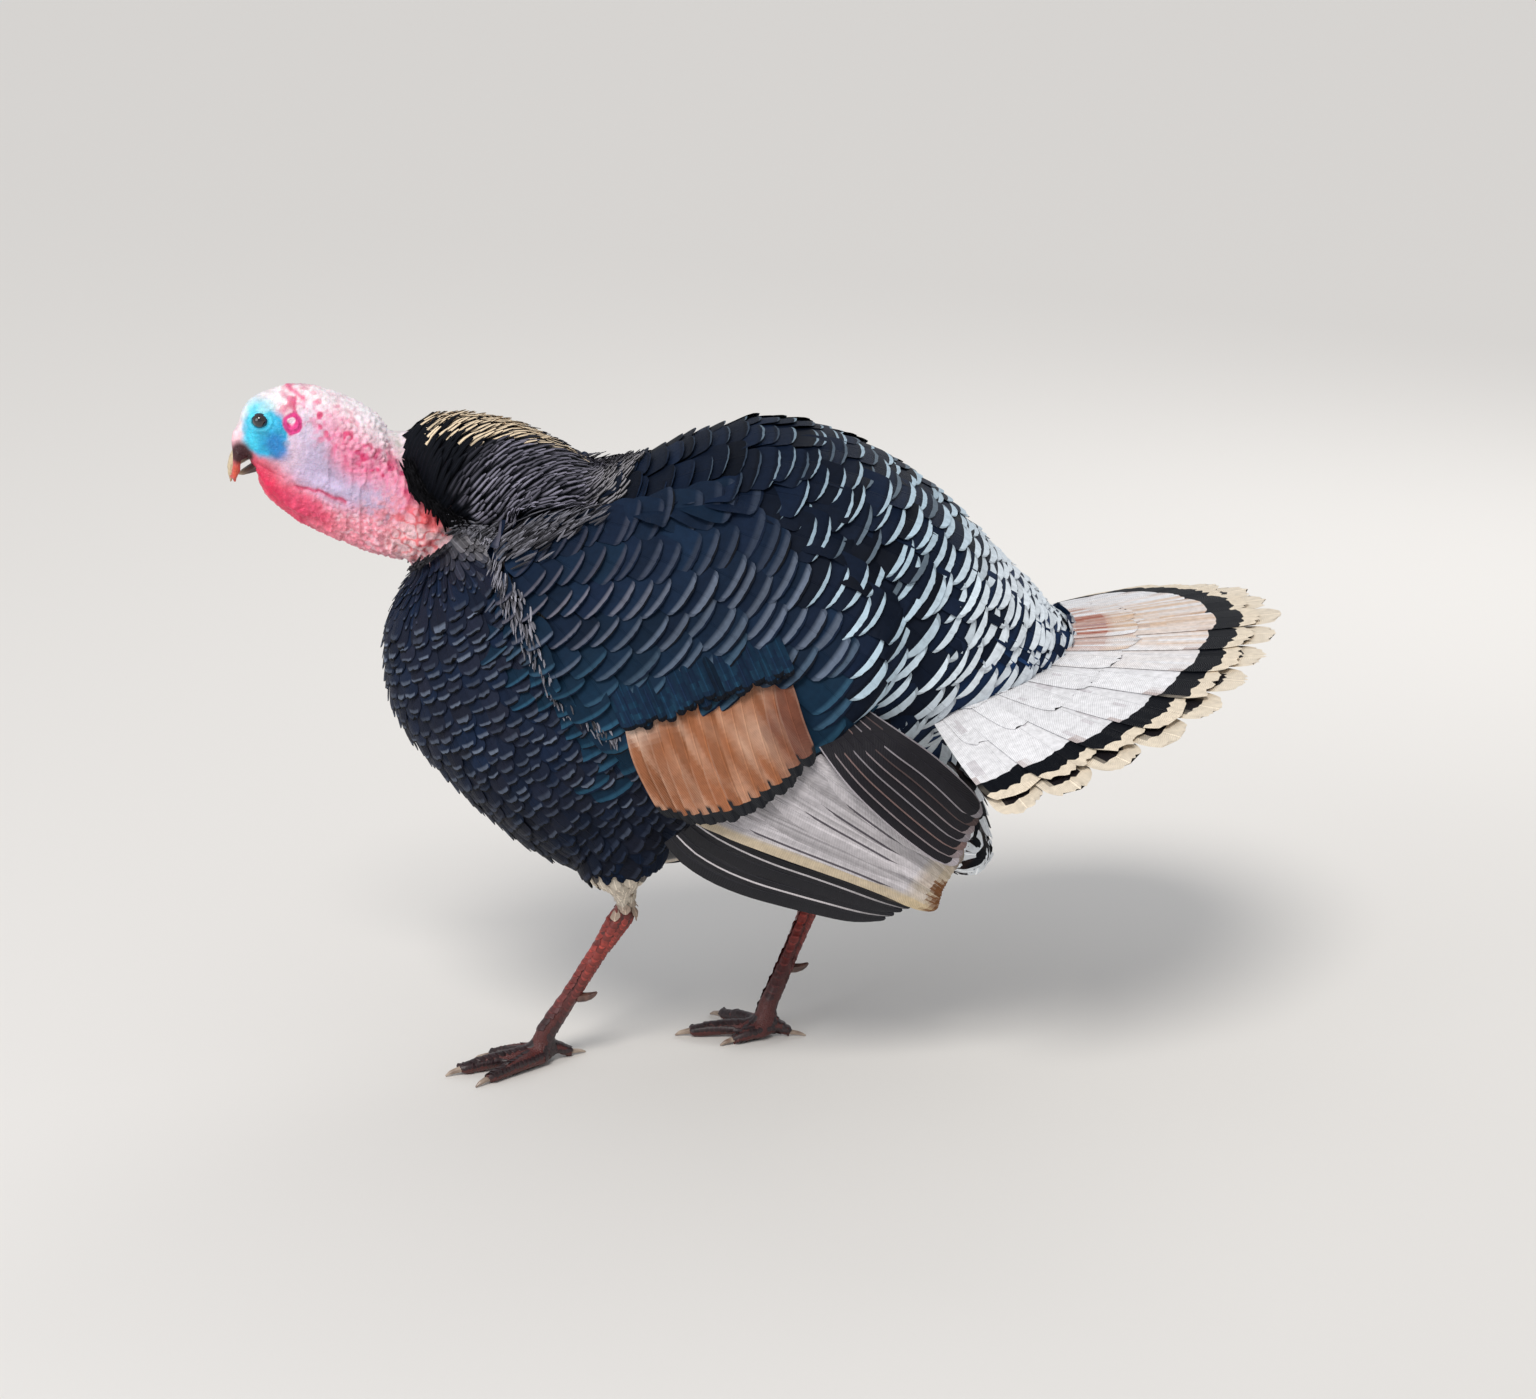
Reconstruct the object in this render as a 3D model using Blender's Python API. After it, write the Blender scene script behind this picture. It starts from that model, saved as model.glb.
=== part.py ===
"""A domestic turkey tom, life size, walking with its coat puffed, its wings
dropped a little and its tail fanned low.

Metres, +Z up. The bird faces -X and its left side is -Y. The origin lies on the
floor below the middle of its overall length and width. Each named part of the
body is one closed solid out to the tips of its feathers.
"""

import math

import bmesh
import bpy
import numpy as np
from mathutils import Vector

# ---------------------------------------------------------------- dimensions
BEAK_TIP_X = -0.533
TAIL_TIP_X = 0.555
MIDDLE_X = (BEAK_TIP_X + TAIL_TIP_X) / 2

GAP = 0.0004  # clearance between pieces that touch

EYE_RADIUS = 0.0085
EYE_PLACE = (-0.4955, 0.0185, 0.694)  # x, distance from the middle plane, z

TAIL_ROOT = Vector((0.155, 0.0, 0.434))
TAIL_FEATHERS = 18
TAIL_LENGTH = 0.400
TAIL_SIDE_SHORTER = 0.095  # how much shorter the outermost feather is
TAIL_HALF_SPREAD = math.radians(74)
TAIL_RISE = math.radians(6)  # of the middle pair
TAIL_DROOP = math.radians(22)  # from the middle pair to the outermost
TAIL_THICK_ROOT = 0.010
TAIL_THICK_TIP = 0.0025
TAIL_COVERT_GAP = 0.0015  # clears the fan's facets
COVERT_THIN = 0.0015  # the coverts' thickness at their tips

BODY_SIDES = 24
BODY_RINGS = 20
LIMB_SIDES = 10

SHANK_RADIUS_TOP = 0.0125
SHANK_RADIUS_MIDDLE = 0.0085
SHANK_RADIUS_LOW = 0.0105

# A leg: hip, hock, ankle (centre of the foot's pad) and the tips of the claws,
# for the left foot, which is forward, and the right foot, which pushes off.
LEGS = {
    "left": {
        "hip": (-0.122, -0.090, 0.320),
        "calf": (-0.143, -0.080, 0.229),
        "hock": (-0.133, -0.062, 0.178),
        "pad": (-0.226, -0.048, 0.0),
        "toes": {
            "middle": (-0.327, -0.083),
            "inner": (-0.298, -0.040),
            "outer": (-0.295, -0.114),
            "hind": (-0.179, -0.027),
        },
    },
    "right": {
        "hip": (0.024, 0.092, 0.320),
        "calf": (0.060, 0.080, 0.236),
        "hock": (0.084, 0.064, 0.163),
        "pad": (0.015, 0.006, 0.0),
        "toes": {
            "middle": (-0.081, 0.012),
            "inner": (-0.034, -0.020),
            "outer": (-0.040, 0.070),
            "hind": (0.060, 0.001),
        },
    },
}
TOE_RADIUS = {"middle": 0.0088, "inner": 0.0078, "outer": 0.0080, "hind": 0.0070}
TOE_ROOTS_APART = 0.009
CLAW_LENGTH = 0.015
PAD_HEIGHT = 0.016

# ---------------------------------------------------------------- colours
BLACK_FEATHER = (0.020, 0.022, 0.028)
BLUE_FEATHER = (0.030, 0.055, 0.090)
GREY_FEATHER = (0.42, 0.41, 0.40)
DARK_QUILL = (0.035, 0.033, 0.035)
WHITE_FEATHER = (0.80, 0.77, 0.74)
PINK_SKIN = (0.82, 0.30, 0.36)
PALE_SKIN = (0.74, 0.60, 0.72)
RED_SKIN = (0.45, 0.03, 0.04)
HORN = (0.62, 0.48, 0.34)
DARK_HORN = (0.09, 0.07, 0.06)
EYE_BROWN = (0.010, 0.009, 0.020)
MAROON_SCUTE = (0.24, 0.035, 0.030)
DARK_SCUTE = (0.060, 0.022, 0.022)


def clear_scene():
    """Empties the file, so that only the bird is in it."""
    for thing in list(bpy.data.objects):
        bpy.data.objects.remove(thing)
    for group in list(bpy.data.collections):
        bpy.data.collections.remove(group)


def new_collection(name):
    """Returns a new collection of the scene."""
    group = bpy.data.collections.new(name)
    bpy.context.scene.collection.children.link(group)
    return group


clear_scene()
BIRD = new_collection("turkey_tom")
CUTTERS = new_collection("cutters")


# ---------------------------------------------------------------- shaping
def principled(name, colour, roughness):
    """Returns a Principled material of one colour."""
    material = bpy.data.materials.new(name)
    material.use_nodes = True
    shader = material.node_tree.nodes["Principled BSDF"]
    shader.inputs["Base Color"].default_value = (*colour, 1.0)
    shader.inputs["Roughness"].default_value = roughness
    shader.inputs["Metallic"].default_value = 0.0
    return material


def through(stations, count):
    """Returns count rows on a smooth curve through rows of numbers."""
    rows = np.array(stations, dtype=float)
    ends = np.vstack([2 * rows[0] - rows[1], rows, 2 * rows[-1] - rows[-2]])
    out = []
    for place in np.linspace(0, len(rows) - 1, count):
        k = min(int(place), len(rows) - 2)
        t = place - k
        a, b, c, d = ends[k : k + 4]
        out.append(
            b
            + 0.5 * t * (c - a)
            + t * t * (a - 2.5 * b + 2 * c - 0.5 * d)
            + t**3 * (1.5 * b - 1.5 * c + 0.5 * d - 0.5 * a)
        )
    return out


def ring(top, bottom, side, count, fullness=1.0):
    """Returns points round an oval from its top, its bottom and half its width."""
    top, bottom, side = Vector(top), Vector(bottom), Vector(side)
    centre = (top + bottom) / 2
    up = (top - bottom) / 2
    points = []
    for i in range(count):
        turn = 2 * math.pi * i / count
        rise = math.copysign(abs(math.cos(turn)) ** fullness, math.cos(turn))
        out = math.copysign(abs(math.sin(turn)) ** fullness, math.sin(turn))
        points.append(centre + up * rise + side * out)
    return points


def as_object(name, mesh_tool, material, smooth=True):
    """Makes an object of the bird from a bmesh, with its faces pointing out."""
    bmesh.ops.recalc_face_normals(mesh_tool, faces=mesh_tool.faces)
    bmesh.ops.triangulate(mesh_tool, faces=mesh_tool.faces)
    mesh = bpy.data.meshes.new(name)
    mesh_tool.to_mesh(mesh)
    mesh_tool.free()
    if smooth:
        mesh.shade_smooth()
    mesh.materials.append(material)
    thing = bpy.data.objects.new(name, mesh)
    BIRD.objects.link(thing)
    return thing


def loft(name, rings, material):
    """Joins rings of equal count into a closed solid with domed ends."""
    tool = bmesh.new()
    rows = [[tool.verts.new(point) for point in points] for points in rings]
    count = len(rows[0])
    for near, far in zip(rows, rows[1:]):
        for i in range(count):
            j = (i + 1) % count
            tool.faces.new((near[i], near[j], far[j], far[i]))
    for row, points in ((rows[0], rings[0]), (rows[-1], rings[-1])):
        middle = tool.verts.new(sum(points, Vector()) / count)
        for i in range(count):
            tool.faces.new((row[i], row[(i + 1) % count], middle))
    return as_object(name, tool, material)


def upright_loft(name, stations, rings, sides, material, fullness=1.0):
    """Lofts ovals across the middle plane.

    Each station is the x and z of the oval's top, the x and z of its bottom, and
    half its width.
    """
    rows = through(stations, rings)
    ovals = [
        ring((xt, 0, zt), (xb, 0, zb), (0, max(half, 0.0004), 0), sides, fullness)
        for xt, zt, xb, zb, half in rows
    ]
    return loft(name, ovals, material)


def tube(name, stations, rings, sides, material, floor=None):
    """Lofts rounds along a bent axis.

    Each station is the axis point and the radius. With a floor, whatever would
    lie below it is flattened onto it.
    """
    rows = [(Vector(row[:3]), row[3]) for row in through(stations, rings)]
    rounds = []
    side = Vector((0, 1, 0))
    for k, (place, radius) in enumerate(rows):
        before = rows[max(k - 1, 0)][0]
        after = rows[min(k + 1, len(rows) - 1)][0]
        along = (after - before).normalized()
        side = (side - along * side.dot(along)).normalized()
        up = side.cross(along)
        points = ring(
            place + up * radius, place - up * radius, side * radius, sides
        )
        if floor is not None:
            for point in points:
                point.z = max(point.z, floor)
        rounds.append(points)
    return loft(name, rounds, material)


def cutter_of(thing):
    """Returns a copy of a piece, swollen by the gap, to cut its neighbours."""
    cutter = bpy.data.objects.new("clear_of_" + thing.name, thing.data)
    CUTTERS.objects.link(cutter)
    cutter.hide_render = True
    cutter.display_type = "WIRE"
    swell = cutter.modifiers.new("swell", "DISPLACE")
    swell.mid_level = 0.0
    swell.strength = GAP
    return cutter


def keep_clear(piece, *cutters):
    """Cuts a piece back from its neighbours, so that they only just touch."""
    for cutter in cutters:
        cut = piece.modifiers.new("clear", "BOOLEAN")
        cut.operation = "DIFFERENCE"
        cut.solver = "EXACT"
        cut.object = cutter


# ---------------------------------------------------------------- trunk and neck
def make_trunk():
    """The puffed breast, belly, back and rump, out to the feather tips."""
    stations = [
        (-0.386, 0.462, -0.386, 0.425, 0.014),
        (-0.376, 0.500, -0.377, 0.378, 0.058),
        (-0.352, 0.537, -0.347, 0.334, 0.098),
        (-0.315, 0.575, -0.297, 0.280, 0.132),
        (-0.265, 0.606, -0.243, 0.232, 0.156),
        (-0.205, 0.627, -0.185, 0.201, 0.168),
        (-0.135, 0.642, -0.120, 0.197, 0.175),
        (-0.060, 0.671, -0.050, 0.208, 0.178),
        (0.015, 0.690, 0.015, 0.232, 0.177),
        (0.085, 0.678, 0.075, 0.266, 0.172),
        (0.150, 0.644, 0.130, 0.302, 0.164),
        (0.208, 0.599, 0.182, 0.338, 0.153),
        (0.260, 0.544, 0.232, 0.366, 0.138),
        (0.303, 0.498, 0.282, 0.396, 0.115),
        (0.331, 0.473, 0.320, 0.423, 0.080),
        (0.345, 0.458, 0.343, 0.440, 0.020),
    ]
    finish = principled("breast_and_back_feather", BLACK_FEATHER, 0.5)
    return upright_loft("trunk", stations, BODY_RINGS, BODY_SIDES, finish, 0.92)


def make_neck():
    """The bare throat and neck, down to where the breast feathers start."""
    stations = [
        (-0.502, 0.640, -0.501, 0.628, 0.006),
        (-0.492, 0.652, -0.490, 0.609, 0.016),
        (-0.472, 0.662, -0.466, 0.587, 0.023),
        (-0.440, 0.670, -0.432, 0.569, 0.030),
        (-0.405, 0.674, -0.400, 0.555, 0.036),
        (-0.370, 0.672, -0.368, 0.545, 0.041),
        (-0.335, 0.662, -0.335, 0.536, 0.046),
        (-0.300, 0.640, -0.300, 0.540, 0.044),
        (-0.275, 0.612, -0.275, 0.560, 0.026),
    ]
    return upright_loft("neck", stations, 9, 12, principled("neck_skin", PINK_SKIN, 0.45))


def make_ruff():
    """The raised dark feathers over the back of the neck."""
    stations = [
        (-0.366, 0.676, -0.318, 0.590, 0.032),
        (-0.359, 0.689, -0.300, 0.572, 0.052),
        (-0.330, 0.695, -0.278, 0.560, 0.068),
        (-0.290, 0.697, -0.250, 0.552, 0.084),
        (-0.240, 0.686, -0.218, 0.548, 0.098),
        (-0.190, 0.662, -0.180, 0.545, 0.100),
        (-0.150, 0.632, -0.150, 0.560, 0.070),
    ]
    finish = principled("ruff_feather", BLACK_FEATHER, 0.6)
    return upright_loft("neck_ruff", stations, 7, 18, finish)


# ---------------------------------------------------------------- head
def make_head():
    """The bare head, from the face to the nape, without beak, eyes and snood."""
    stations = [
        (-0.5170, 0.690, -0.5160, 0.672, 0.0050),
        (-0.5140, 0.702, -0.5120, 0.655, 0.0150),
        (-0.5060, 0.712, -0.5030, 0.642, 0.0205),
        (-0.4950, 0.7195, -0.4920, 0.633, 0.0238),
        (-0.4760, 0.7255, -0.4740, 0.622, 0.0258),
        (-0.4540, 0.7280, -0.4520, 0.612, 0.0285),
        (-0.4270, 0.7215, -0.4270, 0.604, 0.0320),
        (-0.4020, 0.7095, -0.4040, 0.600, 0.0345),
        (-0.3800, 0.6930, -0.3850, 0.602, 0.0340),
        (-0.3670, 0.6770, -0.3740, 0.612, 0.0260),
        (-0.3610, 0.6560, -0.3650, 0.630, 0.0100),
    ]
    return upright_loft("head", stations, 12, 14, principled("head_skin", PALE_SKIN, 0.45), 0.95)


def make_beak():
    """The short hooked upper beak and the lower one, a little open."""
    upper = [
        (-0.5080, 0.678, -0.4970, 0.656, 0.0120),
        (-0.5180, 0.672, -0.5060, 0.6515, 0.0108),
        (-0.5245, 0.664, -0.5130, 0.6480, 0.0092),
        (-0.5295, 0.655, -0.5190, 0.6445, 0.0074),
        (-0.5325, 0.644, -0.5245, 0.6385, 0.0052),
        (-0.5320, 0.635, -0.5268, 0.6325, 0.0030),
        (-0.5298, 0.627, -0.5285, 0.6275, 0.0009),
    ]
    lower = [
        (-0.4960, 0.6520, -0.4945, 0.640, 0.0105),
        (-0.5040, 0.6482, -0.5020, 0.637, 0.0095),
        (-0.5110, 0.6442, -0.5095, 0.635, 0.0076),
        (-0.5175, 0.6398, -0.5165, 0.6335, 0.0048),
        (-0.5215, 0.6362, -0.5210, 0.6340, 0.0018),
    ]
    horn = principled("beak_horn", HORN, 0.35)
    return [
        upright_loft("beak_upper", upper, 7, 10, horn),
        upright_loft("beak_lower", lower, 5, 8, horn),
    ]


def make_snood():
    """The fleshy snood, rooted above the beak and hanging down its left side."""
    stations = [
        (-0.5090, 0.0000, 0.6860, 0.0050),
        (-0.5160, -0.0035, 0.6830, 0.0066),
        (-0.5205, -0.0105, 0.6740, 0.0064),
        (-0.5200, -0.0150, 0.6600, 0.0056),
        (-0.5215, -0.0140, 0.6460, 0.0050),
        (-0.5250, -0.0110, 0.6330, 0.0042),
        (-0.5265, -0.0090, 0.6270, 0.0016),
    ]
    return tube("snood", stations, 7, 7, principled("snood_skin", RED_SKIN, 0.4))


def make_eyes():
    """The two eyeballs, which the head is cut back from."""
    dark = principled("eye_brown", EYE_BROWN, 0.08)
    eyes = []
    x, aside, z = EYE_PLACE
    for name, sign in (("eye_left", -1), ("eye_right", 1)):
        tool = bmesh.new()
        bmesh.ops.create_uvsphere(tool, u_segments=10, v_segments=6, radius=EYE_RADIUS)
        bmesh.ops.translate(tool, verts=tool.verts, vec=(x, sign * aside, z))
        eyes.append(as_object(name, tool, dark))
    return eyes


# ---------------------------------------------------------------- wings
def leaning_loft(name, stations, rings, sides, material, side_sign, fullness=0.9):
    """Lofts slabs that lie along the flank.

    Each station is the x, y and z of the slab's top edge, then of its bottom edge,
    and half its thickness; y is the distance from the middle plane.
    """
    ovals = []
    for xt, yt, zt, xb, yb, zb, half in through(stations, rings):
        top = Vector((xt, side_sign * yt, zt))
        bottom = Vector((xb, side_sign * yb, zb))
        along = Vector((1, 0, 0))
        out = along.cross(top - bottom).normalized() * max(half, 0.0004)
        ovals.append(ring(top, bottom, out, sides, fullness))
    return loft(name, ovals, material)


def flat_loft(name, stations, rings, sides, material, side_sign):
    """Lofts a bundle of quills from its root to its tips.

    Each station is the x, y and z of the bundle's rear edge, then of its front
    edge, and half its thickness.
    """
    rows = through(stations, rings)
    ovals = []
    for k, (xr, yr, zr, xf, yf, zf, half) in enumerate(rows):
        rear = Vector((xr, side_sign * yr, zr))
        front = Vector((xf, side_sign * yf, zf))
        before = Vector(rows[max(k - 1, 0)][:3])
        after = Vector(rows[min(k + 1, len(rows) - 1)][:3])
        along = after - before
        along.y *= side_sign
        out = along.cross(rear - front).normalized() * half
        ovals.append(ring(rear, front, out, sides, 0.8))
    return loft(name, ovals, material)


def make_wing(side, sign):
    """A folded wing, let down a little: the feathered arm and its two quill bundles."""
    arm = [
        (-0.270, 0.112, 0.588, -0.262, 0.138, 0.528, 0.010),
        (-0.252, 0.108, 0.612, -0.240, 0.156, 0.486, 0.026),
        (-0.215, 0.108, 0.620, -0.205, 0.170, 0.430, 0.036),
        (-0.160, 0.106, 0.628, -0.155, 0.177, 0.384, 0.042),
        (-0.095, 0.104, 0.636, -0.098, 0.180, 0.344, 0.044),
        (-0.030, 0.106, 0.644, -0.030, 0.180, 0.338, 0.042),
        (0.030, 0.121, 0.632, 0.030, 0.181, 0.354, 0.035),
        (0.080, 0.136, 0.604, 0.078, 0.179, 0.384, 0.030),
        (0.118, 0.151, 0.560, 0.115, 0.173, 0.424, 0.022),
        (0.142, 0.162, 0.514, 0.140, 0.167, 0.468, 0.010),
    ]
    secondaries = [
        (0.078, 0.180, 0.410, -0.080, 0.192, 0.345, 0.0060),
        (0.100, 0.184, 0.388, -0.074, 0.199, 0.318, 0.0110),
        (0.124, 0.182, 0.356, -0.030, 0.199, 0.288, 0.0120),
        (0.150, 0.174, 0.318, 0.030, 0.194, 0.254, 0.0110),
        (0.178, 0.164, 0.276, 0.088, 0.185, 0.222, 0.0090),
        (0.200, 0.154, 0.230, 0.140, 0.174, 0.196, 0.0060),
        (0.202, 0.150, 0.200, 0.172, 0.164, 0.183, 0.0026),
    ]
    primaries = [
        (-0.040, 0.180, 0.316, -0.096, 0.186, 0.292, 0.0050),
        (-0.010, 0.180, 0.296, -0.072, 0.186, 0.264, 0.0080),
        (0.035, 0.176, 0.268, -0.020, 0.183, 0.236, 0.0080),
        (0.085, 0.168, 0.240, 0.045, 0.176, 0.214, 0.0070),
        (0.135, 0.160, 0.214, 0.100, 0.168, 0.198, 0.0050),
        (0.170, 0.154, 0.192, 0.148, 0.160, 0.185, 0.0022),
    ]
    coverts = principled("wing_covert_feather_" + side, BLUE_FEATHER, 0.45)
    grey = principled("secondary_quill_" + side, GREY_FEATHER, 0.6)
    dark = principled("primary_quill_" + side, DARK_QUILL, 0.55)
    return [
        leaning_loft("wing_" + side, arm, 12, 16, coverts, sign),
        flat_loft("secondaries_" + side, secondaries, 8, 12, grey, sign),
        flat_loft("primaries_" + side, primaries, 7, 10, dark, sign),
    ]


# ---------------------------------------------------------------- tail
def fan_place(reach, spread):
    """Returns the point of the fan at a share of its length and of its half spread."""
    angle = TAIL_HALF_SPREAD * spread
    length = TAIL_LENGTH - TAIL_SIDE_SHORTER * abs(spread) ** 1.8
    droop = TAIL_DROOP * spread**2 - TAIL_RISE
    radius = length * reach
    return TAIL_ROOT + Vector(
        (
            radius * math.cos(angle) * math.cos(droop),
            radius * math.sin(angle) * math.cos(droop),
            -radius * math.sin(droop),
        )
    )


def fan_plate(name, reaches, spreads, edge, low, high, material):
    """Makes a closed plate over the fan.

    edge(spread) scales the reach of the tips, and low and high give the heights of
    the plate's two faces above the fan at a reach and a spread.
    """
    tool = bmesh.new()
    faces = []
    for height in (low, high):
        grid = []
        for reach in reaches:
            row = []
            for spread in spreads:
                share = reach * (1 + (edge(spread) - 1) * (reach / reaches[-1]) ** 6)
                place = fan_place(share, spread)
                place.z += height(reach, spread)
                row.append(tool.verts.new(place))
            grid.append(row)
        faces.append(grid)
    under, over = faces
    last_row, last_col = len(reaches) - 1, len(spreads) - 1
    for r in range(last_row):
        for c in range(last_col):
            for grid in faces:
                corners = (grid[r][c], grid[r][c + 1], grid[r + 1][c + 1], grid[r + 1][c])
                tool.faces.new(corners)
    for c in range(last_col):
        for r in (0, last_row):
            tool.faces.new((under[r][c], under[r][c + 1], over[r][c + 1], over[r][c]))
    for r in range(last_row):
        for c in (0, last_col):
            tool.faces.new((under[r][c], under[r + 1][c], over[r + 1][c], over[r][c]))
    return as_object(name, tool, material, smooth=False)


def scallop(spread):
    """The round end of each tail feather: 1 at its middle, less between feathers."""
    place = (spread + 1) / 2 * TAIL_FEATHERS
    off_middle = abs(place - math.floor(place) - 0.5) * 2
    return 1.0 - 0.035 * off_middle**2


def make_tail():
    """The fan of 18 quills, the coverts over its root and those under it."""

    def plate_thickness(reach):
        return TAIL_THICK_ROOT + (TAIL_THICK_TIP - TAIL_THICK_ROOT) * min(reach * 1.1, 1.0)

    parts = []
    columns = np.linspace(-1, 1, TAIL_FEATHERS * 2 + 1)
    parts.append(
        fan_plate(
            "tail_fan",
            (0.28, 0.60, 0.88, 1.0),
            columns,
            scallop,
            lambda reach, spread: -plate_thickness(reach) / 2,
            lambda reach, spread: plate_thickness(reach) / 2,
            principled("tail_quill", WHITE_FEATHER, 0.6),
        )
    )

    def covert_rise(reach, spread):
        slope = math.cos(spread / 0.93 * math.pi / 2) ** 0.5 if abs(spread) < 0.93 else 0.0
        clear = plate_thickness(reach) / 2 + TAIL_COVERT_GAP
        return clear + COVERT_THIN + 0.020 * slope * (0.80 - reach)

    covert_columns = columns[2:-2:2]
    parts.append(
        fan_plate(
            "tail_coverts_upper",
            (0.30, 0.50, 0.66, 0.80),
            covert_columns,
            lambda spread: 1.0 - 0.10 * abs(spread) ** 2,
            lambda reach, spread: plate_thickness(reach) / 2 + TAIL_COVERT_GAP,
            covert_rise,
            principled("tail_covert_upper_feather", WHITE_FEATHER, 0.6),
        )
    )

    def under_depth(reach, spread):
        swell = max(0.0, 1.0 - (spread / 0.78) ** 2) * max(0.0, 1.0 - (reach / 0.70) ** 2)
        clear = plate_thickness(reach) / 2 + TAIL_COVERT_GAP
        return -(clear + COVERT_THIN + 0.062 * swell)

    under_columns = columns[4:-4:2]
    parts.append(
        fan_plate(
            "tail_coverts_under",
            (0.24, 0.47, 0.70),
            under_columns,
            lambda spread: 1.0 - 0.12 * abs(spread) ** 2,
            under_depth,
            lambda reach, spread: -(plate_thickness(reach) / 2 + TAIL_COVERT_GAP),
            principled("tail_covert_under_feather", BLACK_FEATHER, 0.6),
        )
    )
    return parts


def make_vent():
    """The long loose feathers that hang behind the legs, under the tail."""
    stations = [
        (0.170, 0.400, 0.060, 0.260, 0.100),
        (0.213, 0.370, 0.100, 0.238, 0.108),
        (0.241, 0.320, 0.145, 0.216, 0.098),
        (0.254, 0.270, 0.185, 0.200, 0.080),
        (0.259, 0.225, 0.214, 0.188, 0.055),
        (0.258, 0.201, 0.238, 0.186, 0.020),
    ]
    finish = principled("vent_feather", BLACK_FEATHER, 0.6)
    return upright_loft("vent_feathers", stations, 9, 16, finish)


# ---------------------------------------------------------------- legs
def make_thigh(side, leg):
    """The feathered drumstick, down to the pale down at the hock."""
    hip, calf, hock = (Vector(leg[key]) for key in ("hip", "calf", "hock"))
    cuff = calf.lerp(hock, 0.52)
    stations = [
        (*hip, 0.060),
        (*hip.lerp(calf, 0.35), 0.062),
        (*hip.lerp(calf, 0.75), 0.054),
        (*calf, 0.046),
        (*calf.lerp(hock, 0.34), 0.029),
        (*cuff, 0.0200),
        (*calf.lerp(hock, 0.80), 0.0165),
        (*hock, 0.0135),
    ]
    finish = principled("thigh_feather_" + side, BLACK_FEATHER, 0.6)
    return tube("thigh_" + side, stations, 10, 12, finish)


def make_shank(side, leg):
    """The scaly shank from the hock to the pad under the foot."""
    hock, pad = Vector(leg["hock"]), Vector(leg["pad"])
    ankle = pad + Vector((0, 0, PAD_HEIGHT * 1.55))
    down = (hock - ankle).normalized()
    ball = pad + Vector((0, 0, PAD_HEIGHT * 0.62))
    stations = [
        (*(hock + down * 0.006), 0.0095),
        (*(hock - down * 0.010), SHANK_RADIUS_TOP + 0.001),
        (*hock.lerp(ankle, 0.22), SHANK_RADIUS_MIDDLE + 0.0012),
        (*hock.lerp(ankle, 0.50), SHANK_RADIUS_MIDDLE),
        (*hock.lerp(ankle, 0.78), SHANK_RADIUS_MIDDLE + 0.0006),
        (*ankle, SHANK_RADIUS_LOW),
        (*ball, SHANK_RADIUS_LOW + 0.0025),
        (*(pad + Vector((0, 0, 0.003))), 0.0090),
    ]
    finish = principled("shank_scute_" + side, MAROON_SCUTE, 0.45)
    return tube("shank_" + side, stations, 10, LIMB_SIDES, finish, floor=0.0)


def make_spur(side, leg):
    """The short blunt spur behind the shank."""
    hock, pad = Vector(leg["hock"]), Vector(leg["pad"])
    root = pad.lerp(hock, 0.42)
    stations = [
        (*root, 0.0062),
        (*(root + Vector((0.010, 0.0, 0.000))), 0.0052),
        (*(root + Vector((0.0165, 0.0, 0.0022))), 0.0036),
        (*(root + Vector((0.0210, 0.0, 0.0052))), 0.0012),
    ]
    return tube("spur_" + side, stations, 5, 6, principled("spur_horn_" + side, DARK_HORN, 0.4))


def make_toe(side, kind, leg):
    """One toe, flat where it treads, and the claw at its end."""
    pad = Vector(leg["pad"])
    tip = Vector((*leg["toes"][kind], 0.0))
    radius = TOE_RADIUS[kind]
    if kind in ("inner", "outer"):
        middle = (Vector((*leg["toes"]["middle"], 0.0)) - pad).normalized()
        aside = tip - pad - middle * middle.dot(tip - pad)
        pad = pad + aside.normalized() * TOE_ROOTS_APART
    along = (tip - pad).normalized()
    knuckle = tip - along * CLAW_LENGTH
    high = PAD_HEIGHT if kind == "hind" else PAD_HEIGHT * 0.62
    arch = 0.009 if kind == "hind" else 0.0035
    stations = [
        (*(pad + Vector((0, 0, high))), radius * 1.05),
        (*(pad.lerp(knuckle, 0.32) + Vector((0, 0, radius * 0.86 + arch))), radius),
        (*(pad.lerp(knuckle, 0.62) + Vector((0, 0, radius * 0.84 + arch * 0.6))), radius * 0.93),
        (*(pad.lerp(knuckle, 0.86) + Vector((0, 0, radius * 0.74))), radius * 0.84),
        (*(knuckle + Vector((0, 0, radius * 0.62))), radius * 0.62),
    ]
    dark = principled("toe_scute_%s_%s" % (side, kind), DARK_SCUTE, 0.5)
    toe = tube("toe_%s_%s" % (side, kind), stations, 6, 8, dark, floor=0.0)
    claw_stations = [
        (*(knuckle + along * GAP * 4 + Vector((0, 0, radius * 0.70))), radius * 0.46),
        (*(knuckle + along * CLAW_LENGTH * 0.25 + Vector((0, 0, radius * 0.72))), radius * 0.45),
        (*(knuckle + along * CLAW_LENGTH * 0.60 + Vector((0, 0, radius * 0.50))), radius * 0.32),
        (*(knuckle + along * CLAW_LENGTH + Vector((0, 0, 0.0012))), 0.0009),
    ]
    horn = principled("claw_horn_%s_%s" % (side, kind), HORN, 0.4)
    tube("claw_%s_%s" % (side, kind), claw_stations, 5, 6, horn, floor=0.0)
    return toe


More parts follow.
